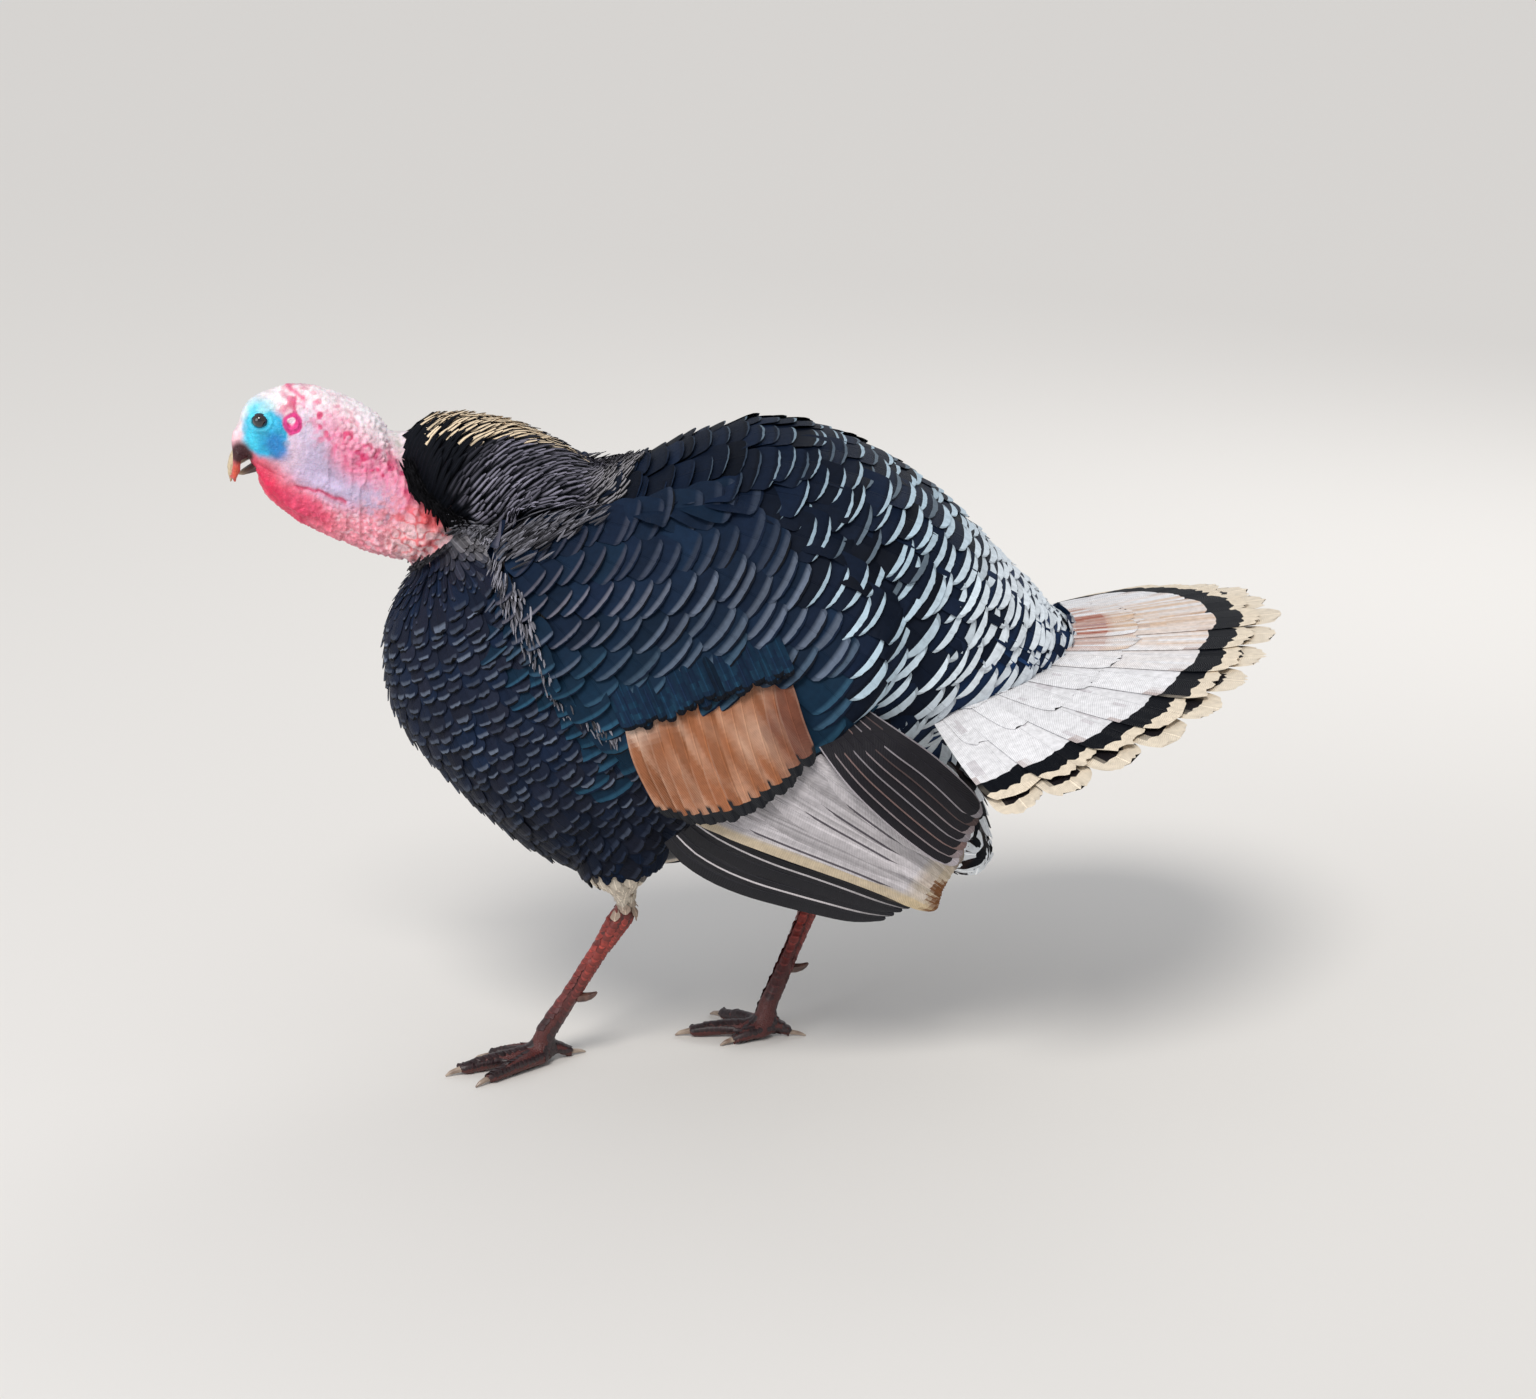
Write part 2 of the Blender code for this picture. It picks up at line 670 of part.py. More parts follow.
def make_leg(side, leg, trunk_cutter):
    """Makes one leg, each piece cut back from what it grows from.

    Returns the cutter that keeps other pieces clear of the thigh.
    """
    thigh = make_thigh(side, leg)
    shank = make_shank(side, leg)
    spur = make_spur(side, leg)
    thigh_cutter, shank_cutter = cutter_of(thigh), cutter_of(shank)
    keep_clear(thigh, trunk_cutter)
    keep_clear(shank, thigh_cutter)
    keep_clear(spur, shank_cutter)
    toe_cutters = []
    for kind in ("middle", "inner", "outer", "hind"):
        toe = make_toe(side, kind, leg)
        toe_cutter = cutter_of(toe)
        keep_clear(toe, shank_cutter, *toe_cutters)
        toe_cutters.append(toe_cutter)
    return thigh_cutter


# ---------------------------------------------------------------- the bird
def centre_on_origin():
    """Moves every piece, so that the origin is below the middle of the bird."""
    for thing in list(BIRD.objects) + list(CUTTERS.objects):
        thing.location.x -= MIDDLE_X


def make_turkey():
    """Builds the bird from the trunk outwards."""
    trunk = make_trunk()
    trunk_cutter = cutter_of(trunk)

    head = make_head()
    eyes = make_eyes()
    beak_upper, beak_lower = make_beak()
    snood = make_snood()
    neck = make_neck()
    ruff = make_ruff()
    head_cutter, neck_cutter = cutter_of(head), cutter_of(neck)
    upper_cutter = cutter_of(beak_upper)
    keep_clear(head, *(cutter_of(eye) for eye in eyes))
    keep_clear(beak_upper, head_cutter)
    keep_clear(beak_lower, head_cutter, neck_cutter, upper_cutter)
    keep_clear(snood, head_cutter, upper_cutter, cutter_of(beak_lower))
    keep_clear(neck, head_cutter, trunk_cutter)
    keep_clear(ruff, trunk_cutter, neck_cutter, head_cutter)

    for side, sign in (("left", -1), ("right", 1)):
        arm, secondaries, primaries = make_wing(side, sign)
        arm_cutter, secondary_cutter = cutter_of(arm), cutter_of(secondaries)
        keep_clear(arm, trunk_cutter, cutter_of(ruff))
        keep_clear(secondaries, arm_cutter, trunk_cutter)
        keep_clear(primaries, arm_cutter, secondary_cutter, trunk_cutter)

    tail = make_tail()
    for plate in tail:
        keep_clear(plate, trunk_cutter)

    thigh_cutters = [make_leg(side, leg, trunk_cutter) for side, leg in LEGS.items()]
    tail_cutters = [cutter_of(plate) for plate in tail]
    keep_clear(make_vent(), trunk_cutter, *thigh_cutters, *tail_cutters)
    centre_on_origin()


make_turkey()
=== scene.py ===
"""A domestic turkey tom as a still, life-size model, dressed over its solid frame.

Metres, +Z up. The bird faces -X and its left side is -Y. One skin covers the flesh. Over it
lie the feathers as thin solid vanes, set in rows along the lie of the coat. The head and neck
are bare skin, the shanks and toes carry scutes, and the beak, eyes, spurs and claws are
pieces of their own.
"""

import logging
import math
from dataclasses import dataclass, field
from enum import Enum
from typing import Callable, Dict, List, Optional, Sequence, Tuple

import bmesh
import bpy
import numpy as np
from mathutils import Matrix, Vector
from mathutils.bvhtree import BVHTree

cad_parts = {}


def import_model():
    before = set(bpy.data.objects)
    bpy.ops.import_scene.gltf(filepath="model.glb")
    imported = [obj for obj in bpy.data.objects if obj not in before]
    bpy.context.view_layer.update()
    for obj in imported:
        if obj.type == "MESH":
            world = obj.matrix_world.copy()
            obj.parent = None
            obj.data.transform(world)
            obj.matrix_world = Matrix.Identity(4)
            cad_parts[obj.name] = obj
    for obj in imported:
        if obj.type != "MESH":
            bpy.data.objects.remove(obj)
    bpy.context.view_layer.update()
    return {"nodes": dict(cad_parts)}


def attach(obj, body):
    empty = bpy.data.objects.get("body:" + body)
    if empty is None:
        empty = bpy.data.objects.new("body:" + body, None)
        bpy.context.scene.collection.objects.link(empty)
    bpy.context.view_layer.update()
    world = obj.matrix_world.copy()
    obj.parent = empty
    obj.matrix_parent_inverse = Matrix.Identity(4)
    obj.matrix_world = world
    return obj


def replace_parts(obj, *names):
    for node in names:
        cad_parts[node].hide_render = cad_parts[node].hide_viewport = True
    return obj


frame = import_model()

LOG = logging.getLogger("turkey")
Array = np.ndarray
Colour = Tuple[float, float, float]
Socket = bpy.types.NodeSocket
Draw = np.random.Generator

MIDDLE_X = 0.011  # the frame's origin lies this far behind the guides' own
SIDES = (("left", -1.0), ("right", 1.0))


# ---------------------------------------------------------------- small tools
def spot(x: float, y: float, z: float) -> Array:
    """Returns a guide's point in the frame."""
    return np.array((x - MIDDLE_X, y, z))


def from_side(points: Array) -> Tuple[Array, Array]:
    """Returns the guides' x and z of points in the frame."""
    return points[:, 0] + MIDDLE_X, points[:, 2]


def unit(rows: Array) -> Array:
    """Returns vectors scaled to length one."""
    length = np.linalg.norm(rows, axis=-1, keepdims=True)
    return rows / np.maximum(length, 1e-12)


def ease(low: float, high: float, value: Array) -> Array:
    """Returns a smooth step from 0 at low to 1 at high."""
    share = np.clip((value - low) / (high - low), 0.0, 1.0)
    return share * share * (3.0 - 2.0 * share)


def mirrored(points: Array) -> Array:
    """Returns points folded onto one side, with y counted from the middle plane.

    Args:
        points: Places in the frame.

    Returns:
        The folded points, with y never below 0.
    """
    folded = np.array(points, dtype=float)
    folded[..., 1] = np.abs(folded[..., 1])
    return folded


def shade(colour: Colour, amount: Array) -> Array:
    """Returns one colour made lighter or darker by each amount."""
    return np.asarray(colour) * np.asarray(amount)[..., None]


def lattice(ix: Array, iy: Array, iz: Array, seed: int) -> Array:
    """Returns a fixed number from 0 to 1 for each cell of a grid.

    Args:
        ix: The cells' numbers along x.
        iy: Their numbers along y.
        iz: Their numbers along z.
        seed: The draw's seed.

    Returns:
        The numbers, one for each cell.
    """
    mix = (ix * 374761393 + iy * 668265263 + iz * 1440670441 + seed * 1274126177) & 0xFFFFFFFF
    mix = ((mix ^ (mix >> 13)) * 1274126177) & 0xFFFFFFFF
    mix = ((mix ^ (mix >> 15)) * 2246822519) & 0xFFFFFFFF
    return ((mix ^ (mix >> 16)) & 0xFFFFFF) / float(0xFFFFFF)


def mottle(points: Array, size: float, seed: int) -> Array:
    """Returns soft noise from -1 to 1 at points, with patches of a size.

    Args:
        points: Places in the frame.
        size: The patches' size.
        seed: The draw's seed.

    Returns:
        The noise, one value for each point.
    """
    scaled = np.asarray(points) / size
    cell = np.floor(scaled).astype(np.int64)
    part = scaled - cell
    part = part * part * (3 - 2 * part)
    total = np.zeros(scaled.shape[:-1])
    for step in np.ndindex(2, 2, 2):
        x, y, z = (part[..., a] if step[a] else 1 - part[..., a] for a in range(3))
        total += x * y * z * lattice(*np.moveaxis(cell + step, -1, 0), seed)
    return total * 2 - 1


def pebbles(points: Array, size: float, seed: int) -> Tuple[Array, Array]:
    """Finds the nearest of scattered seeds, one to each cell.

    Args:
        points: Places in space.
        size: The cells' edge.
        seed: The draw's seed.

    Returns:
        The distance to the nearest seed and to the next one, as shares of the size.
    """
    scaled = np.asarray(points) / size
    cell = np.floor(scaled).astype(np.int64)
    near = np.full(len(scaled), 9.0)
    after = np.full(len(scaled), 9.0)
    for step in np.ndindex(3, 3, 3):
        other = cell + step - 1
        place = other + np.stack([lattice(*other.T, seed + k) for k in (1, 2, 3)], axis=1)
        away = np.linalg.norm(scaled - place, axis=1)
        after = np.minimum(after, np.maximum(near, away))
        near = np.minimum(near, away)
    return near, after


def mesh_of(name: str, points: Array, corners: Array, counts: Array) -> bpy.types.Mesh:
    """Makes a mesh from flat arrays.

    Args:
        name: The mesh's name.
        points: One row for each vertex.
        corners: The vertices round each face, one face after another.
        counts: How many corners each face has.

    Returns:
        The mesh, smooth shaded.
    """
    mesh = bpy.data.meshes.new(name)
    mesh.vertices.add(len(points))
    mesh.vertices.foreach_set("co", np.asarray(points, np.float32).ravel())
    mesh.loops.add(len(corners))
    mesh.loops.foreach_set("vertex_index", np.asarray(corners, np.int32))
    mesh.polygons.add(len(counts))
    starts = np.concatenate([[0], np.cumsum(counts)[:-1]]).astype(np.int32)
    mesh.polygons.foreach_set("loop_start", starts)
    mesh.update(calc_edges=True)
    mesh.shade_smooth()
    return mesh


def arrays_of(mesh: bpy.types.Mesh) -> Tuple[Array, Array]:
    """Returns a mesh's vertices and its triangles.

    Args:
        mesh: The mesh.

    Returns:
        The vertices' places and the triangles' vertices, row by row.
    """
    points = np.empty(len(mesh.vertices) * 3, np.float32)
    mesh.vertices.foreach_get("co", points)
    mesh.calc_loop_triangles()
    triangles = np.empty(len(mesh.loop_triangles) * 3, np.int32)
    mesh.loop_triangles.foreach_get("vertices", triangles)
    return points.reshape(-1, 3).astype(float), triangles.reshape(-1, 3)


def vertex_normals(points: Array, triangles: Array) -> Array:
    """Returns the smooth normal at each vertex.

    Args:
        points: The vertices.
        triangles: Rows of three vertices.

    Returns:
        The unit normals, row by row.
    """
    a, b, c = (points[triangles[:, k]] for k in range(3))
    face = np.cross(b - a, c - a)
    total = np.zeros_like(points)
    for k in range(3):
        np.add.at(total, triangles[:, k], face)
    return unit(total)


def relaxed(values: Array, edges: Array, rounds: int, share: Array, keep: bool = True) -> Array:
    """Smooths values over a mesh.

    Args:
        values: One row for each vertex.
        edges: Pairs of vertices.
        rounds: How often to smooth.
        share: How far each vertex moves towards its neighbours' mean, from 0 to 1.
        keep: Whether to push back after each round, so that the form doesn't shrink.

    Returns:
        The smoothed values.
    """
    out = np.array(values, dtype=float)
    count = np.bincount(edges.ravel(), minlength=len(out)).astype(float)
    column = (len(out),) + (1,) * (out.ndim - 1)
    share = np.broadcast_to(np.asarray(share, float), len(out)).reshape(column)
    count = np.maximum(count, 1).reshape(column)
    for _ in range(rounds):
        for pull in (0.5, -0.52) if keep else (0.5,):
            total = np.zeros_like(out)
            np.add.at(total, edges[:, 0], out[edges[:, 1]])
            np.add.at(total, edges[:, 1], out[edges[:, 0]])
            out += share * pull * (total / count - out)
    return out


def edges_of(mesh: bpy.types.Mesh) -> Array:
    """Returns a mesh's edges as pairs of vertices.

    Args:
        mesh: The mesh.

    Returns:
        Rows of two vertices.
    """
    edges = np.empty(len(mesh.edges) * 2, np.int32)
    mesh.edges.foreach_get("vertices", edges)
    return edges.reshape(-1, 2)


def paint(mesh: bpy.types.Mesh, name: str, colours: Array, domain: str) -> None:
    """Stores colours on a mesh, one for each vertex or each corner.

    Args:
        mesh: The mesh.
        name: The colours' name.
        colours: Rows of rgb.
        domain: What each row belongs to, POINT or CORNER.
    """
    layer = mesh.color_attributes.new(name, "FLOAT_COLOR", domain)
    full = np.ones((len(colours), 4), np.float32)
    full[:, :3] = np.clip(colours, 0.0, 1.0)
    layer.data.foreach_set("color", full.ravel())


def add_map(mesh: bpy.types.Mesh, name: str, places: Array) -> None:
    """Adds a UV map to a mesh, one place for each corner."""
    layer = mesh.uv_layers.new(name=name, do_init=False)
    layer.uv.foreach_set("vector", np.asarray(places, np.float32).ravel())


def move_points(mesh: bpy.types.Mesh, points: Array) -> None:
    """Moves a mesh's vertices to new places."""
    mesh.vertices.foreach_set("co", np.asarray(points, np.float32).ravel())
    mesh.update()


def smooth_mesh(tool: bmesh.types.BMesh, name: str) -> bpy.types.Mesh:
    """Turns an edited form into a smooth-shaded mesh.

    Args:
        tool: The form, which is freed.
        name: The mesh's name.

    Returns:
        The mesh.
    """
    out = bpy.data.meshes.new(name)
    tool.to_mesh(out)
    tool.free()
    out.shade_smooth()
    return out


def linked(name: str, data: bpy.types.ID) -> bpy.types.Object:
    """Makes an object of some data and puts it in the scene.

    Args:
        name: The object's name.
        data: Its mesh, light or camera.

    Returns:
        The object.
    """
    thing = bpy.data.objects.new(name, data)
    bpy.context.scene.collection.objects.link(thing)
    return thing


def put(name: str, mesh: bpy.types.Mesh, material: bpy.types.Material) -> bpy.types.Object:
    """Puts a piece on the bird.

    Args:
        name: The piece's name.
        mesh: Its shape, in the frame.
        material: What it is made of.

    Returns:
        The piece, riding on the bird's one body.
    """
    mesh.materials.clear()
    mesh.materials.append(material)
    piece = linked(name, mesh)
    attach(piece, "root")
    LOG.info("%s: %d faces", name, len(mesh.polygons))
    return piece


# ---------------------------------------------------------------- finishes
class Nodes:
    """A material's node tree, with short calls to add to it."""

    def __init__(self, name: str) -> None:
        """Starts a material of one Principled shader.

        Args:
            name: The material's name.
        """
        self.material = bpy.data.materials.new(name)
        self.material.use_nodes = True
        self.tree = self.material.node_tree
        self.shader = self.tree.nodes["Principled BSDF"]

    def add(self, kind: str, **values: object) -> bpy.types.Node:
        """Adds a node and sets its own properties.

        Args:
            kind: The node's type.
            values: Its properties.

        Returns:
            The node.
        """
        node = self.tree.nodes.new(kind)
        for key, value in values.items():
            setattr(node, key, value)
        return node

    def join(self, source: Socket, target: Socket) -> None:
        """Links two sockets."""
        self.tree.links.new(source, target)

    def sum(self, kind: str, *terms: object) -> Socket:
        """Returns the result of a math node on sockets and numbers.

        Args:
            kind: The node's operation.
            terms: Its sockets and numbers, in order.

        Returns:
            The result's socket.
        """
        node = self.add("ShaderNodeMath", operation=kind)
        for k, term in enumerate(terms):
            if isinstance(term, Socket):
                self.join(term, node.inputs[k])
            else:
                node.inputs[k].default_value = term
        return node.outputs[0]

    def noise(self, scale: float, detail: float = 3.0) -> Socket:
        """Returns noise in the bird's own space.

        Args:
            scale: How many patches lie in a metre.
            detail: How many finer layers it has.

        Returns:
            The noise's socket.
        """
        place = self.add("ShaderNodeTexCoord")
        node = self.add("ShaderNodeTexNoise")
        node.inputs["Scale"].default_value = scale
        node.inputs["Detail"].default_value = detail
        self.join(place.outputs["Object"], node.inputs["Vector"])
        return node.outputs["Fac"]

    def tint(self, name: str) -> Socket:
        """Returns the colours stored on the mesh."""
        return self.add("ShaderNodeVertexColor", layer_name=name).outputs["Color"]

    def vary(self, colour: Socket, amount: Socket, low: float, high: float) -> Socket:
        """Returns a colour made darker or lighter as an amount runs from 0 to 1.

        Args:
            colour: The colour.
            amount: The amount.
            low: The brightness where the amount is 0.
            high: The brightness where it is 1.

        Returns:
            The new colour's socket.
        """
        span = self.add("ShaderNodeMapRange")
        self.join(amount, span.inputs["Value"])
        span.inputs["To Min"].default_value = low
        span.inputs["To Max"].default_value = high
        scaled = self.add("ShaderNodeVectorMath", operation="SCALE")
        self.join(colour, scaled.inputs[0])
        self.join(span.outputs["Result"], scaled.inputs["Scale"])
        return scaled.outputs["Vector"]

    def bump(self, height: Socket, depth: float) -> None:
        """Raises the surface by a height, in steps that add up.

        Args:
            height: The height, from 0 to 1.
            depth: How deep a height of 1 is, in metres.
        """
        node = self.add("ShaderNodeBump")
        node.inputs["Distance"].default_value = depth
        self.join(height, node.inputs["Height"])
        before = self.shader.inputs["Normal"].links
        if before:
            self.join(before[0].from_socket, node.inputs["Normal"])
        self.join(node.outputs["Normal"], self.shader.inputs["Normal"])

    def set(self, **values: float) -> None:
        """Sets the shader's own sockets, named with _ for a space."""
        for key, value in values.items():
            self.shader.inputs[key.replace("_", " ")].default_value = value


@dataclass(frozen=True)
class Plumage:
    """The finish of feathers: barbs, a shaft and a soft sheen over their markings."""

    name: str
    roughness: float = 0.5
    gloss: float = 0.3
    barb_pitch: float = 0.0011
    barb_depth: float = 0.00012
    shaft_light: float = 1.5

    # the shaft fades out between these distances from the middle
    SHAFT = {"From Min": 0.0004, "From Max": 0.0012, "To Min": 1.0, "To Max": 0.0}

    def material(self) -> bpy.types.Material:
        """Returns the finish as a material.

        Returns:
            The material.
        """
        n = Nodes(self.name)
        place = n.add("ShaderNodeUVMap", uv_map="vane")
        split = n.add("ShaderNodeSeparateXYZ")
        n.join(place.outputs["UV"], split.inputs[0])
        across = n.sum("ABSOLUTE", split.outputs["X"])
        slant = n.sum("MULTIPLY_ADD", across, -0.9, split.outputs["Y"])
        wave = n.sum("SINE", n.sum("MULTIPLY", slant, 2 * math.pi / self.barb_pitch))
        barbs = n.sum("MULTIPLY_ADD", wave, 0.5, 0.5)
        shaft = n.add("ShaderNodeMapRange", interpolation_type="SMOOTHSTEP")
        n.join(across, shaft.inputs["Value"])
        for socket, value in self.SHAFT.items():
            shaft.inputs[socket].default_value = value
        colour = n.vary(n.tint("plumage"), barbs, 0.86, 1.10)
        colour = n.vary(colour, n.noise(160.0), 0.72, 1.28)
        colour = n.vary(colour, shaft.outputs["Result"], 1.0, self.shaft_light)
        n.join(colour, n.shader.inputs["Base Color"])
        n.bump(barbs, self.barb_depth)
        n.bump(shaft.outputs["Result"], 0.0005)
        n.set(Roughness=self.roughness, Specular_IOR_Level=self.gloss)
        return n.material


@dataclass(frozen=True)
class BareSkin:
    """The finish of the skin: bare on the head and neck, hidden under the coat elsewhere."""

    name: str = "skin"
    roughness: float = 0.42

    def material(self) -> bpy.types.Material:
        """Returns the finish as a material.

        Returns:
            The material.
        """
        n = Nodes(self.name)
        fine = n.noise(520.0, 5.0)
        colour = n.vary(n.tint("hide"), n.noise(240.0), 0.80, 1.20)
        colour = n.vary(colour, fine, 0.88, 1.10)
        n.join(colour, n.shader.inputs["Base Color"])
        n.bump(fine, 0.0007)
        cells = n.add("ShaderNodeTexVoronoi", feature="DISTANCE_TO_EDGE")
        cells.inputs["Scale"].default_value = 420.0
        place = n.add("ShaderNodeTexCoord")
        n.join(place.outputs["Object"], cells.inputs["Vector"])
        n.bump(n.sum("MINIMUM", cells.outputs["Distance"], 0.25), 0.0009)
        n.set(Roughness=self.roughness, Subsurface_Weight=0.10, Subsurface_Scale=0.004)
        return n.material


@dataclass(frozen=True)
class Horn:
    """The finish of horn: fine growth lines over the markings of beak, claws or scutes."""

    name: str
    colours: str = "horn"
    scale: float = 340.0
    detail: float = 6.0
    darkest: float = 0.70
    lightest: float = 1.22
    depth: float = 0.0004
    roughness: float = 0.34
    coat: float = 0.2
    coat_roughness: float = 0.3

    def material(self) -> bpy.types.Material:
        """Returns the finish as a material.

        Returns:
            The material.
        """
        n = Nodes(self.name)
        grain = n.noise(self.scale, self.detail)
        colour = n.vary(n.tint(self.colours), grain, self.darkest, self.lightest)
        n.join(colour, n.shader.inputs["Base Color"])
        n.bump(grain, self.depth)
        n.set(Roughness=self.roughness, Coat_Weight=self.coat, Coat_Roughness=self.coat_roughness)
        return n.material


@dataclass(frozen=True)
class WetEye:
    """The finish of the eyes: a dark brown iris round the pupil, wet all over."""

    name: str = "wet_eye"

    def material(self) -> bpy.types.Material:
        """Returns the finish as a material.

        Returns:
            The material.
        """
        n = Nodes(self.name)
        colour = n.vary(n.tint("iris"), n.noise(900.0), 0.7, 1.3)
        n.join(colour, n.shader.inputs["Base Color"])
        n.set(Roughness=0.06, Coat_Weight=1.0, Coat_Roughness=0.02)
        return n.material


# ---------------------------------------------------------------- the skin under the coat
class Surface:
    """A closed form that feathers and plates are laid on."""

    def __init__(self, points: Array, triangles: Array) -> None:
        """Keeps the form and readies it for finding nearest points.

        Args:
            points: The form's vertices.
            triangles: Rows of three vertices.
        """
        self.points, self.triangles = points, triangles
        self.normals = vertex_normals(points, triangles)
        self.tree = BVHTree.FromPolygons(points.tolist(), triangles.tolist())

    def drop(self, places: Array) -> Tuple[Array, Array, Array]:
        """Drops points onto the form.

        Args:
            places: Points near the form.

        Returns:
            The nearest points on it, its smooth normals there and the triangles hit.
        """
        found = [self.tree.find_nearest(place) for place in places.tolist()]
        on = np.array([tuple(f[0]) for f in found])
        hit = np.array([f[2] for f in found])
        a, b, c = (self.points[self.triangles[hit, k]] for k in range(3))
        e1, e2, e3 = b - a, c - a, on - a
        d11, d12, d22 = (e1 * e1).sum(1), (e1 * e2).sum(1), (e2 * e2).sum(1)
        d31, d32 = (e3 * e1).sum(1), (e3 * e2).sum(1)
        scale = np.maximum(d11 * d22 - d12 * d12, 1e-18)
        v = (d22 * d31 - d12 * d32) / scale
        w = (d11 * d32 - d12 * d31) / scale
        shares = np.stack([1 - v - w, v, w], axis=1).clip(0, 1)
        normals = unit((self.normals[self.triangles[hit]] * shares[:, :, None]).sum(1))
        return on, normals, hit

    def rows(self, rise: Array, level: float) -> List[Array]:
        """Traces where a rise over the form's vertices passes a level.

        Args:
            rise: One number for each vertex.
            level: The number to trace.

        Returns:
            The lines, each a row of points.
        """
        above = rise[self.triangles] > level
        count = above.sum(1)
        crossed = (count == 1) | (count == 2)
        tri, above, count = self.triangles[crossed], above[crossed], count[crossed]
        if not len(tri):
            return []
        lone = np.argmax(np.where((count == 1)[:, None], above, ~above), axis=1)
        pick = np.arange(len(tri))
        a, b, c = (tri[pick, (lone + k) % 3] for k in range(3))
        places, keys = [], []
        for other in (b, c):
            share = ((level - rise[a]) / (rise[other] - rise[a]))[:, None]
            places.append(self.points[a] * (1 - share) + self.points[other] * share)
            keys.append(np.minimum(a, other) * len(self.points) + np.maximum(a, other))
        return chains(places[0], places[1], keys[0].tolist(), keys[1].tolist())


def chains(starts: Array, ends: Array, start_keys: List[int], end_keys: List[int]) -> List[Array]:
    """Joins short segments that share ends into lines.

    Args:
        starts: Each segment's first point.
        ends: Each segment's last point.
        start_keys: A key for each first point, the same where segments meet.
        end_keys: A key for each last point.

    Returns:
        The lines, each a row of points.
    """
    meets: Dict[int, List[int]] = {}
    for k, (one, two) in enumerate(zip(start_keys, end_keys)):
        meets.setdefault(one, []).append(k)
        meets.setdefault(two, []).append(k)
    place = {key: starts[k] for k, key in enumerate(start_keys)}
    place.update({key: ends[k] for k, key in enumerate(end_keys)})
    used = np.zeros(len(starts), bool)
    lines = []
    firsts = [key for key, at in meets.items() if len(at) == 1] + list(meets)
    for first in firsts:
        key, line = first, [place[first]]
        while True:
            ahead = [k for k in meets[key] if not used[k]]
            if not ahead:
                break
            used[ahead[0]] = True
            key = end_keys[ahead[0]] if start_keys[ahead[0]] == key else start_keys[ahead[0]]
            line.append(place[key])
        if len(line) > 2:
            lines.append(np.array(line))
    return lines


class Lie:
    """The way the coat lies over a part of the body.

    A smooth rise is fitted, so that it climbs along the feathers by one for each row.
    """

    # what x, y squared and z are divided by for the fit, and the height that z counts from
    LONG, WIDE, HIGH, MIDDLE_Z = 0.4, 0.03, 0.25, 0.45
    POWERS = [(i, j, k) for i in range(5) for j in range(5) for k in range(5) if 0 < i + j + k <= 4]

    def __init__(self, points: Array, normals: Array, guides: Sequence[Sequence[float]]) -> None:
        """Fits the rise.

        Args:
            points: Places over the part.
            normals: The skin's normals there.
            guides: Rows of a place, the direction that feathers point there and the
                distance between rows.
        """
        table = np.array(guides, dtype=float)
        self.places = table[:, :3] - (MIDDLE_X, 0, 0)
        self.ways = unit(table[:, 3:6])
        self.pitches = table[:, 6]
        ways, pitch = self.guide(points)
        ways = unit(ways - normals * (ways * normals).sum(1, keepdims=True))
        slopes = self.slopes(points)
        flat = slopes - normals[:, None, :] * (slopes * normals[:, None, :]).sum(2, keepdims=True)
        system = flat.transpose(0, 2, 1).reshape(-1, len(self.POWERS))
        wanted = (ways / pitch[:, None]).reshape(-1)
        weight = np.repeat(pitch, 3)
        self.factors = np.linalg.lstsq(system * weight[:, None], wanted * weight, rcond=1e-6)[0]

    def guide(self, points: Array) -> Tuple[Array, Array]:
        """Returns the guides' blended direction and row distance at points.

        Args:
            points: Places in the frame.

        Returns:
            The directions and the distances between rows.
        """
        folded = mirrored(points)
        away = np.linalg.norm(folded[:, None, :] - self.places[None], axis=2)
        weight = 1.0 / (away**3 + 1e-5)
        weight /= weight.sum(1, keepdims=True)
        ways = weight @ self.ways
        ways[:, 1] *= np.where(points[:, 1] < 0, -1.0, 1.0)
        return unit(ways), weight @ self.pitches

    def scaled(self, points: Array) -> Array:
        """Returns x, y squared and z at a scale that suits the fit."""
        x, y, z = points.T
        return np.stack([x / self.LONG, y**2 / self.WIDE, (z - self.MIDDLE_Z) / self.HIGH], 1)

    def rise(self, points: Array) -> Array:
        """Returns the fitted rise at points.

        Args:
            points: Places in the frame.

        Returns:
            The rise, one value for each point.
        """
        s = self.scaled(points)
        terms = [s[:, 0] ** i * s[:, 1] ** j * s[:, 2] ** k for i, j, k in self.POWERS]
        return np.stack(terms, 1) @ self.factors

    def slopes(self, points: Array) -> Array:
        """Returns the slope of each term of the rise at points, term by term.

        Args:
            points: Places in the frame.

        Returns:
            The slopes: point, term, xyz.
        """
        s = self.scaled(points)
        inner = np.ones((len(s), 3)) / (self.LONG, self.WIDE, self.HIGH)
        inner[:, 1] *= points[:, 1] * 2
        out = np.zeros((len(s), len(self.POWERS), 3))
        for t, powers in enumerate(self.POWERS):
            for axis, power in enumerate(powers):
                if power:
                    term = power * s[:, axis] ** (power - 1) * inner[:, axis]
                    for other in range(3):
                        if other != axis:
                            term = term * s[:, other] ** powers[other]
                    out[:, t, axis] = term
        return out

    def way(self, points: Array, normals: Array) -> Tuple[Array, Array]:
        """Returns the direction up the rise along the skin, and the distance between rows.

        Args:
            points: Places in the frame.
            normals: The skin's normals there.

        Returns:
            The unit directions and the distances.
        """
        slope = np.einsum("ntk,t->nk", self.slopes(points), self.factors)
        slope = slope - normals * (slope * normals).sum(1, keepdims=True)
        steep = np.linalg.norm(slope, axis=1)
        return unit(slope), 1.0 / np.maximum(steep, 1e-6)


